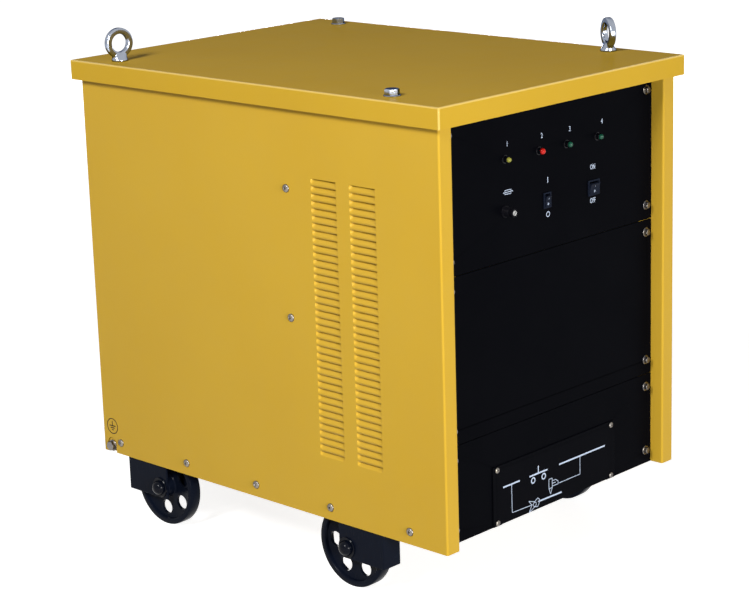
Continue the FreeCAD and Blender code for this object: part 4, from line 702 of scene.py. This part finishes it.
def side_panel(name, side):
    """One folded side with its louvres, and on the left the notch round the earth bolt."""
    bm = bmesh.new()
    front = folded([(TAB_END, -TAB_Y), (RETURN_X, -TAB_Y, 1.0), (RETURN_X, -HALF_DEPTH, BEND),
                    (HALF_WIDTH, -HALF_DEPTH, BEND), (HALF_WIDTH, -HALF_DEPTH + BEND * 2)])[:-1]
    bends = []
    for plan in (front, [(x, -y) for x, y in reversed(front)]):
        corners = [[(x * side, y, z) for z in (WALL_LOW, WALL_HIGH)] for x, y in plan]
        bends.append([[bm.verts.new(corner) for corner in pair] for pair in corners])
    for strip in bends:
        for before, after in zip(strip, strip[1:]):
            bm.faces.new((before[0], after[0], after[1], before[1]))

    edge = bends[0][-1]
    for middle in sorted(LOUVRE_MIDDLES):
        front_edge, rear_edge, bottom, top = scoop_grid(bm, side, middle)
        feet, heads = [], []
        for vert in (front_edge[0], rear_edge[0]):
            y = vert.co.y
            feet.append(bm.verts.new((HALF_WIDTH * side, y, WALL_LOW)))
            heads.append(bm.verts.new((HALF_WIDTH * side, y, WALL_HIGH)))
        bm.faces.new([feet[0], feet[1]] + bottom[::-1])
        bm.faces.new([heads[1], heads[0]] + top)
        chain = [feet[0]] + front_edge + [heads[0]]
        bm.faces.new(edge + chain[::-1])
        edge = [feet[1]] + rear_edge + [heads[1]]
    notch = []
    if side < 0:
        arch = arc(NOTCH_Y, NOTCH_CROWN, NOTCH_HALF, 180, 0, 16)
        line = [(NOTCH_Y - NOTCH_HALF, WALL_LOW)] + arch + [(NOTCH_Y + NOTCH_HALF, WALL_LOW)]
        notch = [bm.verts.new((HALF_WIDTH * side, y, z)) for y, z in line]
    bm.faces.new(edge[::-1] + notch + bends[1][0])
    panel = new_piece(f"{name}_sheet", bm, side_yellow, "yellow_paint", stands_for=[name],
                      crease=32)
    thicken(panel, SHEET, Vector((side, 0, 0)))
    return panel


SIDES = {"left": -1, "right": 1}
for name, side in SIDES.items():
    panel = side_panel(f"{name}_side_panel", side)
    print(panel.name, len(panel.data.polygons), "faces")

# %% [markdown]
# The lid is a shallow tray turned upside down, folded from the same sheet. Its visible corners are
# welded and ground, so all its edges share one small bend. A box without a bottom, bevelled and
# then thickened, gives exactly that, and the bevel's own faces take the paler yellow that paints a
# highlight along the bends.

# %% Lid
LID_X = 250.0
LID_Y = 347.5
LID_LOW = 642.0
LID_TOP = 669.4
LID_BEND = 2.0
FITTING_X = 218.0
FITTING_Y = {"front": -242.0, "rear": 277.0}

bm = bmesh.new()
block(bm, (-LID_X, -LID_Y, LID_LOW), (LID_X, LID_Y, LID_TOP))
bm.faces.ensure_lookup_table()
underside = min(bm.faces, key=lambda face: face.calc_center_median().z)
bm.faces.remove(underside)
lid = new_piece("lid_sheet", bm, lid_yellow, "yellow_paint", stands_for=["lid"], soften=LID_BEND)
lid.modifiers["rounded_edges"].segments = 5
# The bevel's faces get the bends' paler yellow, a painted highlight.
lid.data.materials.append(lid_bend_painted_highlight)
lid.modifiers["rounded_edges"].material = 1
thicken(lid, SHEET, Vector((0, 0, 1)))
print("lid", [round(v, 4) for v in lid.dimensions])

# %% [markdown]
# Two corners of the lid carry forged lifting eyes and the other two carry flanged hexagon bolts.
# An eye is one forging: a ring of flattened band, a round collar, and a neck that grows from the
# collar's circle into the width of the band. The ring is lathed and the neck goes through a few
# ovals. Then a fine voxel remesh melts them into one skin, as forging does.

# %% Lifting eyes
EYES = {"front": (FITTING_X, 58.0), "rear": (-FITTING_X, 170.0)}
EYE_CENTRE = 25.5
EYE_BORE = 12.5
EYE_RING = 21.0
EYE_HALF = 4.5
COLLAR = 11.2


def band_profile(inner, outer, half, corner, steps=4):
    """The section of a flattened ring, its four corners rounded."""
    points = arc(outer - corner, half - corner, corner, 0, 90, steps)
    points += arc(inner + corner, half - corner, corner, 90, 180, steps)
    points += arc(inner + corner, corner - half, corner, 180, 270, steps)
    points += arc(outer - corner, corner - half, corner, 270, 360, steps)
    return points


def melted(bm, voxel, rounds):
    """Joins overlapping solids into one smooth skin with a voxel remesh."""
    bmesh.ops.recalc_face_normals(bm, faces=bm.faces)
    mesh = bpy.data.meshes.new("melting")
    bm.to_mesh(mesh)
    bm.free()
    lump = bpy.data.objects.new("melting", mesh)
    bpy.context.collection.objects.link(lump)
    remesh = lump.modifiers.new("skin", "REMESH")
    remesh.mode = "VOXEL"
    remesh.voxel_size = voxel
    ease = lump.modifiers.new("ease", "SMOOTH")
    ease.factor = 0.5
    ease.iterations = rounds
    seen = lump.evaluated_get(bpy.context.evaluated_depsgraph_get())
    result = bmesh.new()
    result.from_mesh(seen.to_mesh())
    seen.to_mesh_clear()
    bpy.data.objects.remove(lump)
    return result


NECK = [(COLLAR, COLLAR, 0), (COLLAR, COLLAR, 2.4), (10.9, 10.3, 3.6), (10.7, 8.4, 5.6),
        (11.4, 6.6, 8.4), (12.6, 5.0, 11.4), (11.0, 3.6, 12.2)]
for end, (x, turn) in EYES.items():
    bm = bmesh.new()
    stand = aim(x, FITTING_Y[end], LID_TOP, "+Z", turn)
    upright = Matrix.Translation((0, 0, EYE_CENTRE)) @ Matrix.Rotation(math.radians(90), 4, "X")
    lathe(bm, band_profile(EYE_BORE, EYE_RING, EYE_HALF, 2.0), stand @ upright, 72, ring=True)
    turns = [math.tau * i / 48 for i in range(48)]
    skin(bm, [[(wide * math.cos(a), deep * math.sin(a), z) for a in turns]
              for wide, deep, z in NECK], stand)
    new_piece(f"{end}_eye_forging", melted(bm, 0.6, 8), bright_steel, "chrome",
              stands_for=[f"{end}_lifting_eye"], crease=60)
print("eyes:", list(EYES))

# %% [markdown]
# A real hexagon head is never a bare prism: turning the bar chamfers its corners, so each flat ends
# in a curve. The head below is a ring of points on the hexagon, each as low as a 30 degree cone
# would cut it. The same head, at other sizes, serves the lid bolts, the panel screws and the
# earth terminal.

# %% Hexagon heads and lid bolts
CHAMFER = math.tan(math.radians(30))


def hex_head(bm, flats, low, high, place, steps=36):
    """A hexagon head whose corners are cut by a cone, from one height to another."""
    top_radius = flats / 2 * 0.94
    angles = [math.tau * i / steps for i in range(steps)]
    reach = [flats / 2 / math.cos((a + math.pi / 6) % (math.pi / 3) - math.pi / 6) for a in angles]
    level = [low] * steps
    chamfer = [high - (r - top_radius) * CHAMFER for r in reach]
    loops = ((reach, level), (reach, chamfer), ([top_radius] * steps, [high] * steps))
    skin(bm, [[(r * math.cos(a), r * math.sin(a), z) for a, r, z in zip(angles, *loop)]
              for loop in loops], place)


HERE = Matrix()
master = bmesh.new()
lathe(master, [(0, 0), (11.0, 0), (11.0, 1.0), (10.6, 1.5), (9.6, 1.8), (0, 1.8)], HERE, 48)
hex_head(master, 17.0, 1.8, 9.3, HERE)
places = [aim(-FITTING_X, FITTING_Y["front"], LID_TOP, spin=-4),
          aim(FITTING_X, FITTING_Y["rear"], LID_TOP, spin=4)]
stamped_piece("lid_bolt_heads", master, places, bright_steel, "zinc", "lid_bolts", 24)
print("lid bolts stamped")

# %% [markdown]
# Sheet-metal screws hold everything: hexagon ones with washers along the panel edges, domed ones
# with a cross recess in the walls and the terminal cover. One master of each is drawn, and its
# copies are stamped at each place with a different turn, because nobody lines screws up.

# %% Screws
PANEL_Y = 317.5
SCREW_X = 203.0
FRONT_SCREW_Z = (625.0, 465.5, 427.5, 244.5, 205.5, 111.5)
REAR_SCREW_Z = (112.0, 283.0, 454.0, 625.0)


def panel_screw():
    """A hexagon head on its washer."""
    master = bmesh.new()
    lathe(master, [(0, 0), (6.5, 0), (6.5, 0.8), (6.1, 1.2), (0, 1.2)], HERE, 32)
    hex_head(master, 8.0, 1.2, 5.0, HERE, 24)
    return master


def domed_screw(radius, height, recess):
    """A domed head with a tapered cross recess cut into it."""
    head = bmesh.new()
    dome = crown(radius, 0.9, height - 0.9, 18)
    lathe(head, [(0, 0), (radius, 0)] + dome + [(0, height)], HERE, 32)
    bar = recess * 0.24
    loops = []
    for reach, z in ((recess * 0.45, height * 0.35), (recess, height + 0.5)):
        arms = [(reach, -bar), (reach, bar), (bar, bar), (bar, reach), (-bar, reach), (-bar, bar)]
        loops.append([(x * turn, y * turn, z) for turn in (1, -1) for x, y in arms])
    cross = bmesh.new()
    skin(cross, loops)
    return carved(head, cross)


for name, y, direction, heights in (("front", -PANEL_Y, "-Y", FRONT_SCREW_Z),
                                    ("rear", PANEL_Y, "+Y", REAR_SCREW_Z)):
    places = [aim(x, y, z, direction, z * 1.7 + x) for x in (-SCREW_X, SCREW_X) for z in heights]
    stamped_piece(f"{name}_panel_screw_heads", panel_screw(), places, zinc, "zinc",
                  f"{name}_panel_screws", 24)

SIDE_ROW_Y = (-273.5, -130.5, 12.5, 155.5, 298.5)
SIDE_ROW_Z = 109.7
STRAP_Y = -69.5
STRAP_Z = (361.0, 535.2)
places = []
for side, direction in ((-1, "-X"), (1, "+X")):
    places += [aim(HALF_WIDTH * side, y, SIDE_ROW_Z, direction, y) for y in SIDE_ROW_Y]
    places += [aim(HALF_WIDTH * side, STRAP_Y, z, direction, z) for z in STRAP_Z]
stamped_piece("side_screw_heads", domed_screw(5.5, 3.2, 2.6), places, zinc, "zinc",
              "side_panel_screws", 35)

COVER_Y = 319.5
COVER_SCREW_X = 120.8
COVER_SCREW_Z = (97.2, 170.3)
places = [aim(x, -COVER_Y, z, "-Y", x + z)
          for x in (-COVER_SCREW_X, COVER_SCREW_X) for z in COVER_SCREW_Z]
stamped_piece("cover_screw_heads", domed_screw(4.0, 2.4, 1.9), places, zinc, "zinc",
              "terminal_cover_screws", 35)
print("screws stamped")

# %% [markdown]
# The earth terminal sits in the notch at the foot of the left wall: a hexagon bolt and its washer
# on the base tray's ear, with the nut behind. A round yellow label with the earth sign is above it.

# %% Earth terminal and its sign
EAR_X = 238.5
EAR_SHEET = 2.0
EARTH_Y = 319.0
EARTH_Z = 101.6
bm = bmesh.new()
place = aim(-EAR_X, EARTH_Y, EARTH_Z, "-X", 12)
lathe(bm, [(0, 0), (8.5, 0), (8.5, 1.3), (8.2, 1.6), (0, 1.6)], place, 36)
hex_head(bm, 13.0, 1.6, 6.9, place)
hex_head(bm, 13.0, 0.0, 5.3, aim(-EAR_X + EAR_SHEET, EARTH_Y, EARTH_Z, "+X", 25))
new_piece("earth_bolt_set", bm, zinc, "zinc", stands_for=["earth_terminal"], crease=24)

SIGN_Y = 316.2
SIGN_Z = 132.0
SIGN_RADIUS = 12.5
INK = 0.12


def stroke(bm, points, width, place):
    """A printed line through points of a flat face, made of thin closed strips."""
    for start, end in zip(points, points[1:]):
        first, last = Vector(start), Vector(end)
        along = (last - first).normalized()
        across = Vector((-along.y, along.x)) * width / 2
        prism(bm, [first - across, last - across, last + across, first + across], 0, INK, place)


def loop_stroke(bm, x, y, radius, width, place, steps=48):
    """A printed circle."""
    inner, outer = radius - width / 2, radius + width / 2
    profile = [(inner, 0), (outer, 0), (outer, INK), (inner, INK)]
    lathe(bm, profile, place @ Matrix.Translation((x, y, 0)), steps, ring=True)


SIDE_FACE = Matrix(((0, 0, -1, -HALF_WIDTH), (-1, 0, 0, SIGN_Y), (0, 1, 0, SIGN_Z), (0, 0, 0, 1)))
turned_piece("earth_sign_disc", [(0, 0), (SIGN_RADIUS, 0), (SIGN_RADIUS, 0.1), (0, 0.1)], SIDE_FACE,
             64, side_yellow, "yellow_paint")
bm = bmesh.new()
lift = SIDE_FACE @ Matrix.Translation((0, 0, 0.1))
loop_stroke(bm, 0, 0, SIGN_RADIUS - 1.2, 1.3, lift)
stroke(bm, ((0, 8.0), (0, 0.5)), 1.5, lift)
for half, height in ((6.6, 0.5), (4.2, -2.6), (1.9, -5.7)):
    stroke(bm, ((-half, height), (half, height)), 1.5, lift)
new_piece("earth_sign_lines", bm, dark_ink)
print("earth terminal and sign ready")

# %% [markdown]
# Four indicator lamps stand out of the control panel. Each has a glossy sleeve with a flange, and
# a coloured dome in its end. The sleeve tapers a little towards the lens, and small radii in the
# lathed profile catch a highlight along it. The lenses differ slightly in size, as they do in the
# photograph.

# %% Indicator lamps
LAMP_Z = 578.0
LAMPS = {
    "air": (-94.0, 3.5, yellow_lens, "yellow_lens"),
    "phase": (-26.5, 4.2, red_lens, "red_lens"),
    "cutting": (30.0, 3.8, green_lens, "green_lens"),
    "power": (95.0, 3.8, green_lens, "green_lens"),
}
SLEEVE = [(0, -3.0), (4.4, -3.0), (4.4, 0), (5.8, 0), (5.8, 0.6), (5.5, 1.0), (4.6, 1.1),
          (4.4, 1.4), (4.4, 3.2), (4.3, 4.4), (4.05, 5.4), (3.75, 6.0), (3.5, 6.1), (3.4, 5.2),
          (3.4, 1.2), (0, 1.2)]
for name, (x, bulge, lens, slot) in LAMPS.items():
    place = aim(x, -PANEL_Y, LAMP_Z, "-Y")
    turned_piece(f"{name}_lamp_sleeve", SLEEVE, place, 40, gloss_black, "black_plastic",
                 stands_for=[f"{name}_lamp_bezel"], crease=40)
    dome = [(0, 1.3), (3.15, 1.3), (3.15, 6.2)] + crown(bulge, 6.2, 4.3, 12) + [(0, 10.5)]
    turned_piece(f"{name}_lamp_dome", dome, place, 40, lens, slot,
                 stands_for=[f"{name}_lamp_lens"], crease=50)
print("lamps:", list(LAMPS))

# %% [markdown]
# A rocker switch is a moulded frame clipped into the panel, and a dished rocker that rests with its
# lower half in. The frame stays with the body and the rocker rides on its own body, so the joint
# tips it. Behind the panel the frame goes on as a closed box, so that no light comes through the
# gap. White marks are inlaid in the rocker: a line on the upper half, a ring on the lower.

# %% Rocker switches
SWITCH_Z = 510.5
SWITCH_HALF_TALL = 10.5
FRAME_RISE = 2.0
FRAME_WIDTH = 2.2
PIVOT_Y = -314.1
ROCKER_GAP = 0.3
ROCKER_END = 7.1
ROCKER_RISE = 7.6
ROCKER_DISH = 1.3
ROCKER_TILT = 10.0
MARK_Z = 3.7
BOX_INSET = 0.8
BOX_FRONT = 12.0
BOX_BACK = 20.0
SWITCHES = {"mode": (-11.0, 7.5), "main": (86.5, 12.0)}


def window_frame(bm, x, z, half, tall, wall, low, high):
    """A rectangular frame round a window of the front panel, from one height to another."""
    corners = ((-1, -1), (1, -1), (1, 1), (-1, 1))
    loops = [[(px * (half - inset), py * (tall - inset), height) for px, py in corners]
             for inset, height in ((0, low), (0, high), (wall, high), (wall, low))]
    skin(bm, loops, aim(x, -PANEL_Y, z, "-Y"), ring=True)


for name, (x, half) in SWITCHES.items():
    bm = bmesh.new()
    window_frame(bm, x, SWITCH_Z, half, SWITCH_HALF_TALL, FRAME_WIDTH, 0, FRAME_RISE)
    wide, tall = half - BOX_INSET, SWITCH_HALF_TALL - BOX_INSET
    window_frame(bm, x, SWITCH_Z, wide, tall, FRAME_WIDTH - BOX_INSET, -BOX_FRONT - 0.5, 0)
    block(bm, (x - wide, -PANEL_Y + BOX_FRONT, SWITCH_Z - tall),
          (x + wide, -PANEL_Y + BOX_BACK, SWITCH_Z + tall))
    new_piece(f"{name}_switch_frame", bm, rocker_plastic, "rocker_plastic",
              stands_for=[f"{name}_switch_housing"], soften=0.45)

    pivot = Matrix.Translation((x, PIVOT_Y, SWITCH_Z))
    tilt = pivot @ Matrix.Rotation(math.radians(ROCKER_TILT), 4, "X")
    side_view = tilt @ Matrix(((0, 0, 1, 0), (1, 0, 0, 0), (0, 1, 0, 0), (0, 0, 0, 1)))
    wide = half - FRAME_WIDTH - ROCKER_GAP
    bow = [(-ROCKER_RISE + ROCKER_DISH * (1 - (k / 4) ** 2), ROCKER_END * k / 4)
           for k in range(4, -5, -1)]
    outline = bow + [(-3.4, -ROCKER_END), (5.0, -2.5), (5.0, 2.5), (-3.4, ROCKER_END)]
    bm = bmesh.new()
    prism(bm, outline, -wide, wide, side_view)
    new_piece(f"{name}_rocker_key", bm, rocker_plastic, "rocker_plastic", body=f"{name}_rocker",
              stands_for=[f"{name}_rocker"], soften=0.35)
    bm = bmesh.new()
    face = tilt @ Matrix.Rotation(math.radians(90), 4, "X")
    slope = math.atan(ROCKER_DISH * 1.1 / ROCKER_END)
    low_mark, high_mark = [face @ Matrix.Translation((0, MARK_Z * sign, ROCKER_RISE - 0.90))
                           @ Matrix.Rotation(slope * sign, 4, "X") for sign in (-1, 1)]
    loop_stroke(bm, 0, 0, 1.15, 0.75, low_mark, 32)
    stroke(bm, ((0, -1.2), (0, 1.2)), 0.5, high_mark)
    new_piece(f"{name}_rocker_marks", bm, white_ink, body=f"{name}_rocker")
print("switches:", list(SWITCHES))

# %% [markdown]
# The fuse holder is a short black barrel with a screwdriver cap. The cap turns a quarter to let the
# fuse out, so it rides on its own body. Only the small slotted disc in its end is pale, so that
# disc is a piece of its own.

# %% Fuse holder
FUSE_X = -95.0
place = aim(FUSE_X, -PANEL_Y, SWITCH_Z, "-Y")
barrel = [(0, -4.0), (6.3, -4.0), (6.3, 0), (8.0, 0), (8.0, 1.4), (7.6, 2.0), (6.6, 2.1),
          (6.3, 2.5), (6.3, 9.3), (5.9, 9.8), (4.1, 9.8), (4.1, 2.1), (0, 2.1)]
turned_piece("fuse_barrel", barrel, place, 48, black_plastic, "black_plastic",
             stands_for=["fuse_holder"], crease=40)
grip = [(0, 2.3), (3.9, 2.3), (3.9, 10.0), (5.6, 10.0), (5.6, 15.7), (5.0, 16.3), (0, 16.3)]
turned_piece("fuse_cap_grip", grip, place, 48, black_plastic, "black_plastic", body="fuse_cap",
             stands_for=["fuse_cap"], crease=40)
tip, bar = bmesh.new(), bmesh.new()
lathe(tip, [(0, 15.6), (3.4, 15.6), (3.4, 16.7), (3.1, 17.0), (0, 17.0)], place, 48)
bar_outline = [(-7, -0.7), (7, -0.7), (7, 0.7), (-7, 0.7)]
prism(bar, bar_outline, 15.9, 18, place @ Matrix.Rotation(0.9, 4, "Z"))
new_piece("fuse_cap_tip", carved(tip, bar), grey_plastic, "grey_plastic", body="fuse_cap",
          crease=40)
print("fuse holder ready")

# %% [markdown]
# A wheel is a raised rim, a hub and a web with six round holes. It is lathed in one profile and the
# holes are cut through it, then every edge is rounded as on a casting. The axle bolt's big domed
# head sits on a washer against the fork, and its shank runs through fork and wheel.

# %% Wheels
WHEEL_RADIUS = 58.0
RIM_INNER = 50.0
RIM_WIDTH = 18.0
WEB_FRONT = 6.7
WEB_BACK = 11.3
HUB_RADIUS = 16.0
HUB_LOW = -4.6
HUB_HIGH = 19.9
BORE = 6.3
HOLE_RADIUS = 10.5
HOLE_CIRCLE = 35.0
RIM_FACE = 228.5
AXLE_Z = 58.0
AXLES = {"front": (-155.0, 1.0), "rear": (220.5, 23.0)}


def wheel_casting(place, turn):
    """One wheel, turned from half a profile and its mirror image, with six holes cut through."""
    half = [(HUB_RADIUS - 0.6, HUB_LOW + 1.0), (HUB_RADIUS, WEB_FRONT - 1.5),
            (HUB_RADIUS + 1.5, WEB_FRONT), (RIM_INNER - 3.0, WEB_FRONT),
            (RIM_INNER - 1.2, WEB_FRONT - 1.2), (RIM_INNER - 0.4, 1.0), (RIM_INNER + 0.8, 0.0),
            (WHEEL_RADIUS - 2.0, 0.0), (WHEEL_RADIUS - 0.6, 0.6), (WHEEL_RADIUS, 2.0)]
    hub_front = [(BORE, HUB_LOW), (HUB_RADIUS - 1.6, HUB_LOW)]
    hub_back = [(HUB_RADIUS - 1.0, HUB_HIGH), (BORE, HUB_HIGH)]
    far_half = [(r, RIM_WIDTH - z) for r, z in reversed(half)]
    bm, cutter = bmesh.new(), bmesh.new()
    lathe(bm, hub_front + half + far_half + hub_back, place, 96, ring=True)
    for k in range(6):
        angle = math.radians(turn + 60 * k)
        centre = (HOLE_CIRCLE * math.sin(angle), HOLE_CIRCLE * math.cos(angle), WEB_FRONT - 2)
        hole = [(HOLE_RADIUS, 0), (HOLE_RADIUS, WEB_BACK - WEB_FRONT + 4)]
        lathe(cutter, hole, place @ Matrix.Translation(centre), 40)
    return carved(bm, cutter)


for end, (axle_y, turn) in AXLES.items():
    for side_name, side in SIDES.items():
        node = f"{end}_{side_name}_wheel"
        place = aim(RIM_FACE * side, axle_y, AXLE_Z, "+X" if side < 0 else "-X")
        new_piece(f"{node}_casting", wheel_casting(place, turn), wheel_black, "wheel_paint",
                  body=node, stands_for=[node], soften=0.5, crease=38)

FORK_FACE = 236.5
master = bmesh.new()
dome = crown(10.8, 2.5, 9.5, 10)
lathe(master, [(0, 0), (14.5, 0), (14.5, 1.7), (13.7, 2.5)] + dome + [(0, 12.0)], HERE, 56)
lathe(master, [(0, -30.0), (5.7, -30.0), (5.7, 0), (0, 0)], HERE, 32)
places = [aim(FORK_FACE * side, axle_y, AXLE_Z, "-X" if side < 0 else "+X")
          for axle_y, turn in AXLES.values() for side in SIDES.values()]
stamped_piece("axle_bolt_heads", master, places, cap_black, "fork_paint", "axle_bolts", 35)
print("wheels and axle bolts ready")

# %% [markdown]
# The front carries white printing. Only generic marks are drawn: ON and OFF, numbers beside the
# lamps, a line and a ring by the small switch, the fuse sign, and the wiring sketch of the
# terminal cover. Ink has almost no thickness, so each mark is a closed strip 0.12 mm thick that
# lies on the paint. Letters come from Blender's own font.

# %% Marks on the control panel
LETTER = 9.5


def printed(bm, text, x, z, squeeze=0.72, bold=0.12):
    """Adds generic letters or numbers to the control panel, centred on a point."""
    curve = bpy.data.curves.new("letters", "FONT")
    curve.body = text
    curve.size = LETTER * MM
    curve.align_x = "CENTER"
    curve.align_y = "CENTER"
    curve.extrude = INK / 2 * MM
    curve.offset = bold * MM
    curve.resolution_u = 3
    letters = bpy.data.objects.new("letters", curve)
    mesh = bpy.data.meshes.new_from_object(letters)
    bpy.data.objects.remove(letters)
    shape = bmesh.new()
    shape.from_mesh(mesh)
    bpy.data.meshes.remove(mesh)
    bmesh.ops.remove_doubles(shape, verts=shape.verts, dist=1e-7)
    bmesh.ops.scale(shape, vec=(squeeze / MM, 1 / MM, 1 / MM), verts=shape.verts)
    stamped(bm, shape, [aim(x, -PANEL_Y - INK / 2, z, "-Y")])


marks = bmesh.new()
CONTROL_FACE = aim(0, -PANEL_Y, 0, "-Y")
for number, x in enumerate((-89.0, -20.0, 37.5, 105.5), 1):
    printed(marks, str(number), x, 596.5, 0.8, 0.1)
printed(marks, "ON", 85.5, 538.2)
printed(marks, "OFF", 85.5, 492.7)
stroke(marks, ((-8.7, 533.0), (-8.7, 540.6)), 1.3, CONTROL_FACE)
loop_stroke(marks, -8.7, 491.3, 3.2, 1.2, CONTROL_FACE)
stroke(marks, ((-98.2, 534.9), (-79.2, 534.9)), 0.9, CONTROL_FACE)
for y in (532.3, 537.5):
    stroke(marks, ((-94.7, y), (-82.7, y)), 0.9, CONTROL_FACE)
for x in (-94.7, -82.7):
    stroke(marks, ((x, 531.9), (x, 537.9)), 0.9, CONTROL_FACE)
new_piece("control_panel_marks", marks, white_ink)
print("control panel marks drawn")

# %% [markdown]
# The sketch on the terminal cover shows how a cutter is wired: a bar for each terminal, the clamp
# on the work, the torch over it, and the start button. Bars are the widest lines and wires the
# thinnest.

# %% Wiring sketch on the terminal cover
COVER_FACE = aim(0, -COVER_Y, WALL_LOW, "-Y")
BAR = 2.2
BUTTON = 1.8
WIRE = 0.9
SKETCH = (
    (BAR, (-109, 51.5), (-75, 51.5)),
    (BAR, (7.6, 51.6), (108, 51.7)),
    (BAR, (-37.6, 11.5), (12.3, 11.0)),
    (BAR, (-55, 51.4), (-17.3, 51.4)),
    (BUTTON, (-36.5, 52.5), (-36.5, 61.7)),
    (WIRE, (-92, 50.4), (-91.3, 11.4), (-49.0, 10.4)),
    (WIRE, (5.0, 25.5), (52.5, 25.6)),
    (WIRE, (52.5, 25.2), (52.5, 50.6)),
    (WIRE, (-14.5, 36.5), (-7.5, 36.5), (-7.5, 23.0), (-11.0, 15.0), (-14.5, 23.0), (-14.5, 36.5)),
    (WIRE, (-14.5, 23.0), (-7.5, 23.0)),
    (WIRE, (-7.5, 32.5), (0.0, 32.5), (5.0, 29.0), (5.0, 25.0), (-7.5, 25.0)),
    (WIRE, (-7.5, 28.8), (0.0, 28.8)),
    (WIRE, (-57.0, 17.5), (-45.0, 13.4), (-38.5, 17.0), (-34.5, 14.0), (-34.5, 10.0)),
    (WIRE, (-57.0, 17.5), (-50.5, 10.0), (-57.0, 0.9), (-45.0, 6.2), (-38.5, 5.0), (-34.5, 10.0)),
)
sketch = bmesh.new()
for width, *points in SKETCH:
    stroke(sketch, points, width, COVER_FACE)
for x in (-47.4, -25.3):
    loop_stroke(sketch, x, 44.0, 3.7, BUTTON, COVER_FACE)
loop_stroke(sketch, -44.6, 9.6, 3.0, WIRE, COVER_FACE)
new_piece("cover_wiring_sketch", sketch, white_ink)
print("wiring sketch drawn")

# %% [markdown]
# Inside, and behind the guard, sit the transformer set and the controls. Their CAD solids have the
# right shape, so they stay and get finishes of their own: stacked laminations with thin dark
# lines, varnished copper wound in fine turns, green and brown board.

# %% Finishes of the equipment
def striped(name, colour, line_colour, pitch, axis, low, high, depth, metallic=0.0, level=0.4):
    """A finish of fine parallel lines, such as laminations or turns of wire, at a pitch in mm."""
    finish, tree, shader = new_finish(name, Metallic=metallic, Specular_IOR_Level=level)
    spot = add(tree, "SeparateXYZ", _0=place_on_part(tree)).outputs[axis]
    phase = maths(tree, "MULTIPLY", spot, math.tau / (pitch * MM))
    wave = maths(tree, "ADD", maths(tree, "MULTIPLY", maths(tree, "SINE", phase), 0.5), 0.5)
    rough = noise(tree, 300, 4)
    grooved = maths(tree, "POWER", wave, 3.0)
    base_colour = blend_colours(tree, grooved, colour, line_colour)
    soil = effect(tree, "settled_dust", Amount=0.35, Scale=50)
    colour_from(tree, shader, blend_colours(tree, soil, base_colour, (0.16, 0.14, 0.12)))
    roughness_from(tree, shader, rough, low, high)
    bump_from(tree, shader, maths(tree, "ADD", maths(tree, "MULTIPLY", grooved, -1), rough), depth)
    return finish


core_steel = striped("core_laminations", (0.055, 0.055, 0.060), (0.020, 0.020, 0.022), 1.0, "Y",
                     0.35, 0.55, 0.05, 0.4)
copper_winding = striped("varnished_windings", (0.34, 0.13, 0.035), (0.14, 0.045, 0.012), 2.0, "Z",
                         0.18, 0.34, 0.15)


def board(name, colour, track):
    """Printed board: solder resist over square tracks, which a brick texture gives."""
    finish, tree, shader = new_finish(name, Specular_IOR_Level=0.4)
    where = place_on_part(tree)
    bricks = add(tree, "TexBrick", Vector=where, Scale=90, Mortar_Size=0.08)
    soil = effect(tree, "settled_dust", Amount=0.3, Scale=60)
    traced = blend_colours(tree, bricks.outputs["Fac"], colour, track)
    colour_from(tree, shader, blend_colours(tree, soil, traced, (0.18, 0.16, 0.13)))
    roughness_from(tree, shader, noise(tree, 400, 2), 0.25, 0.45)
    bump_from(tree, shader, bricks.outputs["Fac"], 0.04)
    return finish


board_green = board("green_board", (0.012, 0.085, 0.030), (0.020, 0.130, 0.050))
board_brown = board("brown_board", (0.17, 0.075, 0.025), (0.14, 0.060, 0.020))
motor_black = black_paint("black_motor_paint", (0.012, 0.012, 0.013), (0.020, 0.020, 0.021), 0.4,
                          0.30, 0.45, 500, 0.04, 0.2)
print("equipment finishes: core, windings, two boards, motor")

# %% [markdown]
# The nodes that stay keep the CAD's mesh. A Weld joins its split corners, and a small Bevel rounds
# the edges in the picture only, as paint and pressing do.

# %% Dress the nodes that stay
KEPT = [
    (panel_black, 0.35, ["control_panel", "middle_panel", "lower_panel"]),
    (panel_black, 0.3, ["rear_panel"]),
    (cover_black, 0.5, ["terminal_cover"]),
    (guard_black, 0.6, ["fan_guard"]),
    (side_yellow, 0.5, ["base_tray"]),
    (side_yellow, 0.6, ["upright_frame"]),
    (side_yellow, 0.4, ["equipment_shelf"]),
    (fork_black, 0.8, [f"{end}_{side_name}_fork" for end in AXLES for side_name in SIDES]),
    (zinc, 0.3, ["axle_nuts"]),
    (black_plastic, 0.5, ["cable_gland", "rectifier_modules"]),
    (brass, 0.4, ["air_valve"]),
    (brass, 0.3, ["output_studs"]),
    (core_steel, 0.4, ["transformer_core"]),
    (core_steel, 0.5, ["output_reactor"]),
    (copper_winding, 0.6, ["left_winding", "middle_winding", "right_winding"]),
    (sink_metal, 0.3, ["rectifier_heat_sink"]),
    (grey_plastic, 0.5, ["contactor"]),
    (board_green, 0.2, ["control_board"]),
    (board_brown, 0.4, ["terminal_board"]),
    (motor_black, 0.5, ["fan_motor"]),
    (fan_plastic, 0.3, ["fan_wheel"]),
]
kept_count = 0
for finish, width, names in KEPT:
    for name in names:
        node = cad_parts[name]
        node.data.materials.clear()
        node.data.materials.append(finish)
        weld = node.modifiers.new("weld", "WELD")
        weld.merge_threshold = 0.002 * MM
        round_edges(node, width, 35)
        kept_count += 1
print("nodes that stay:", kept_count)
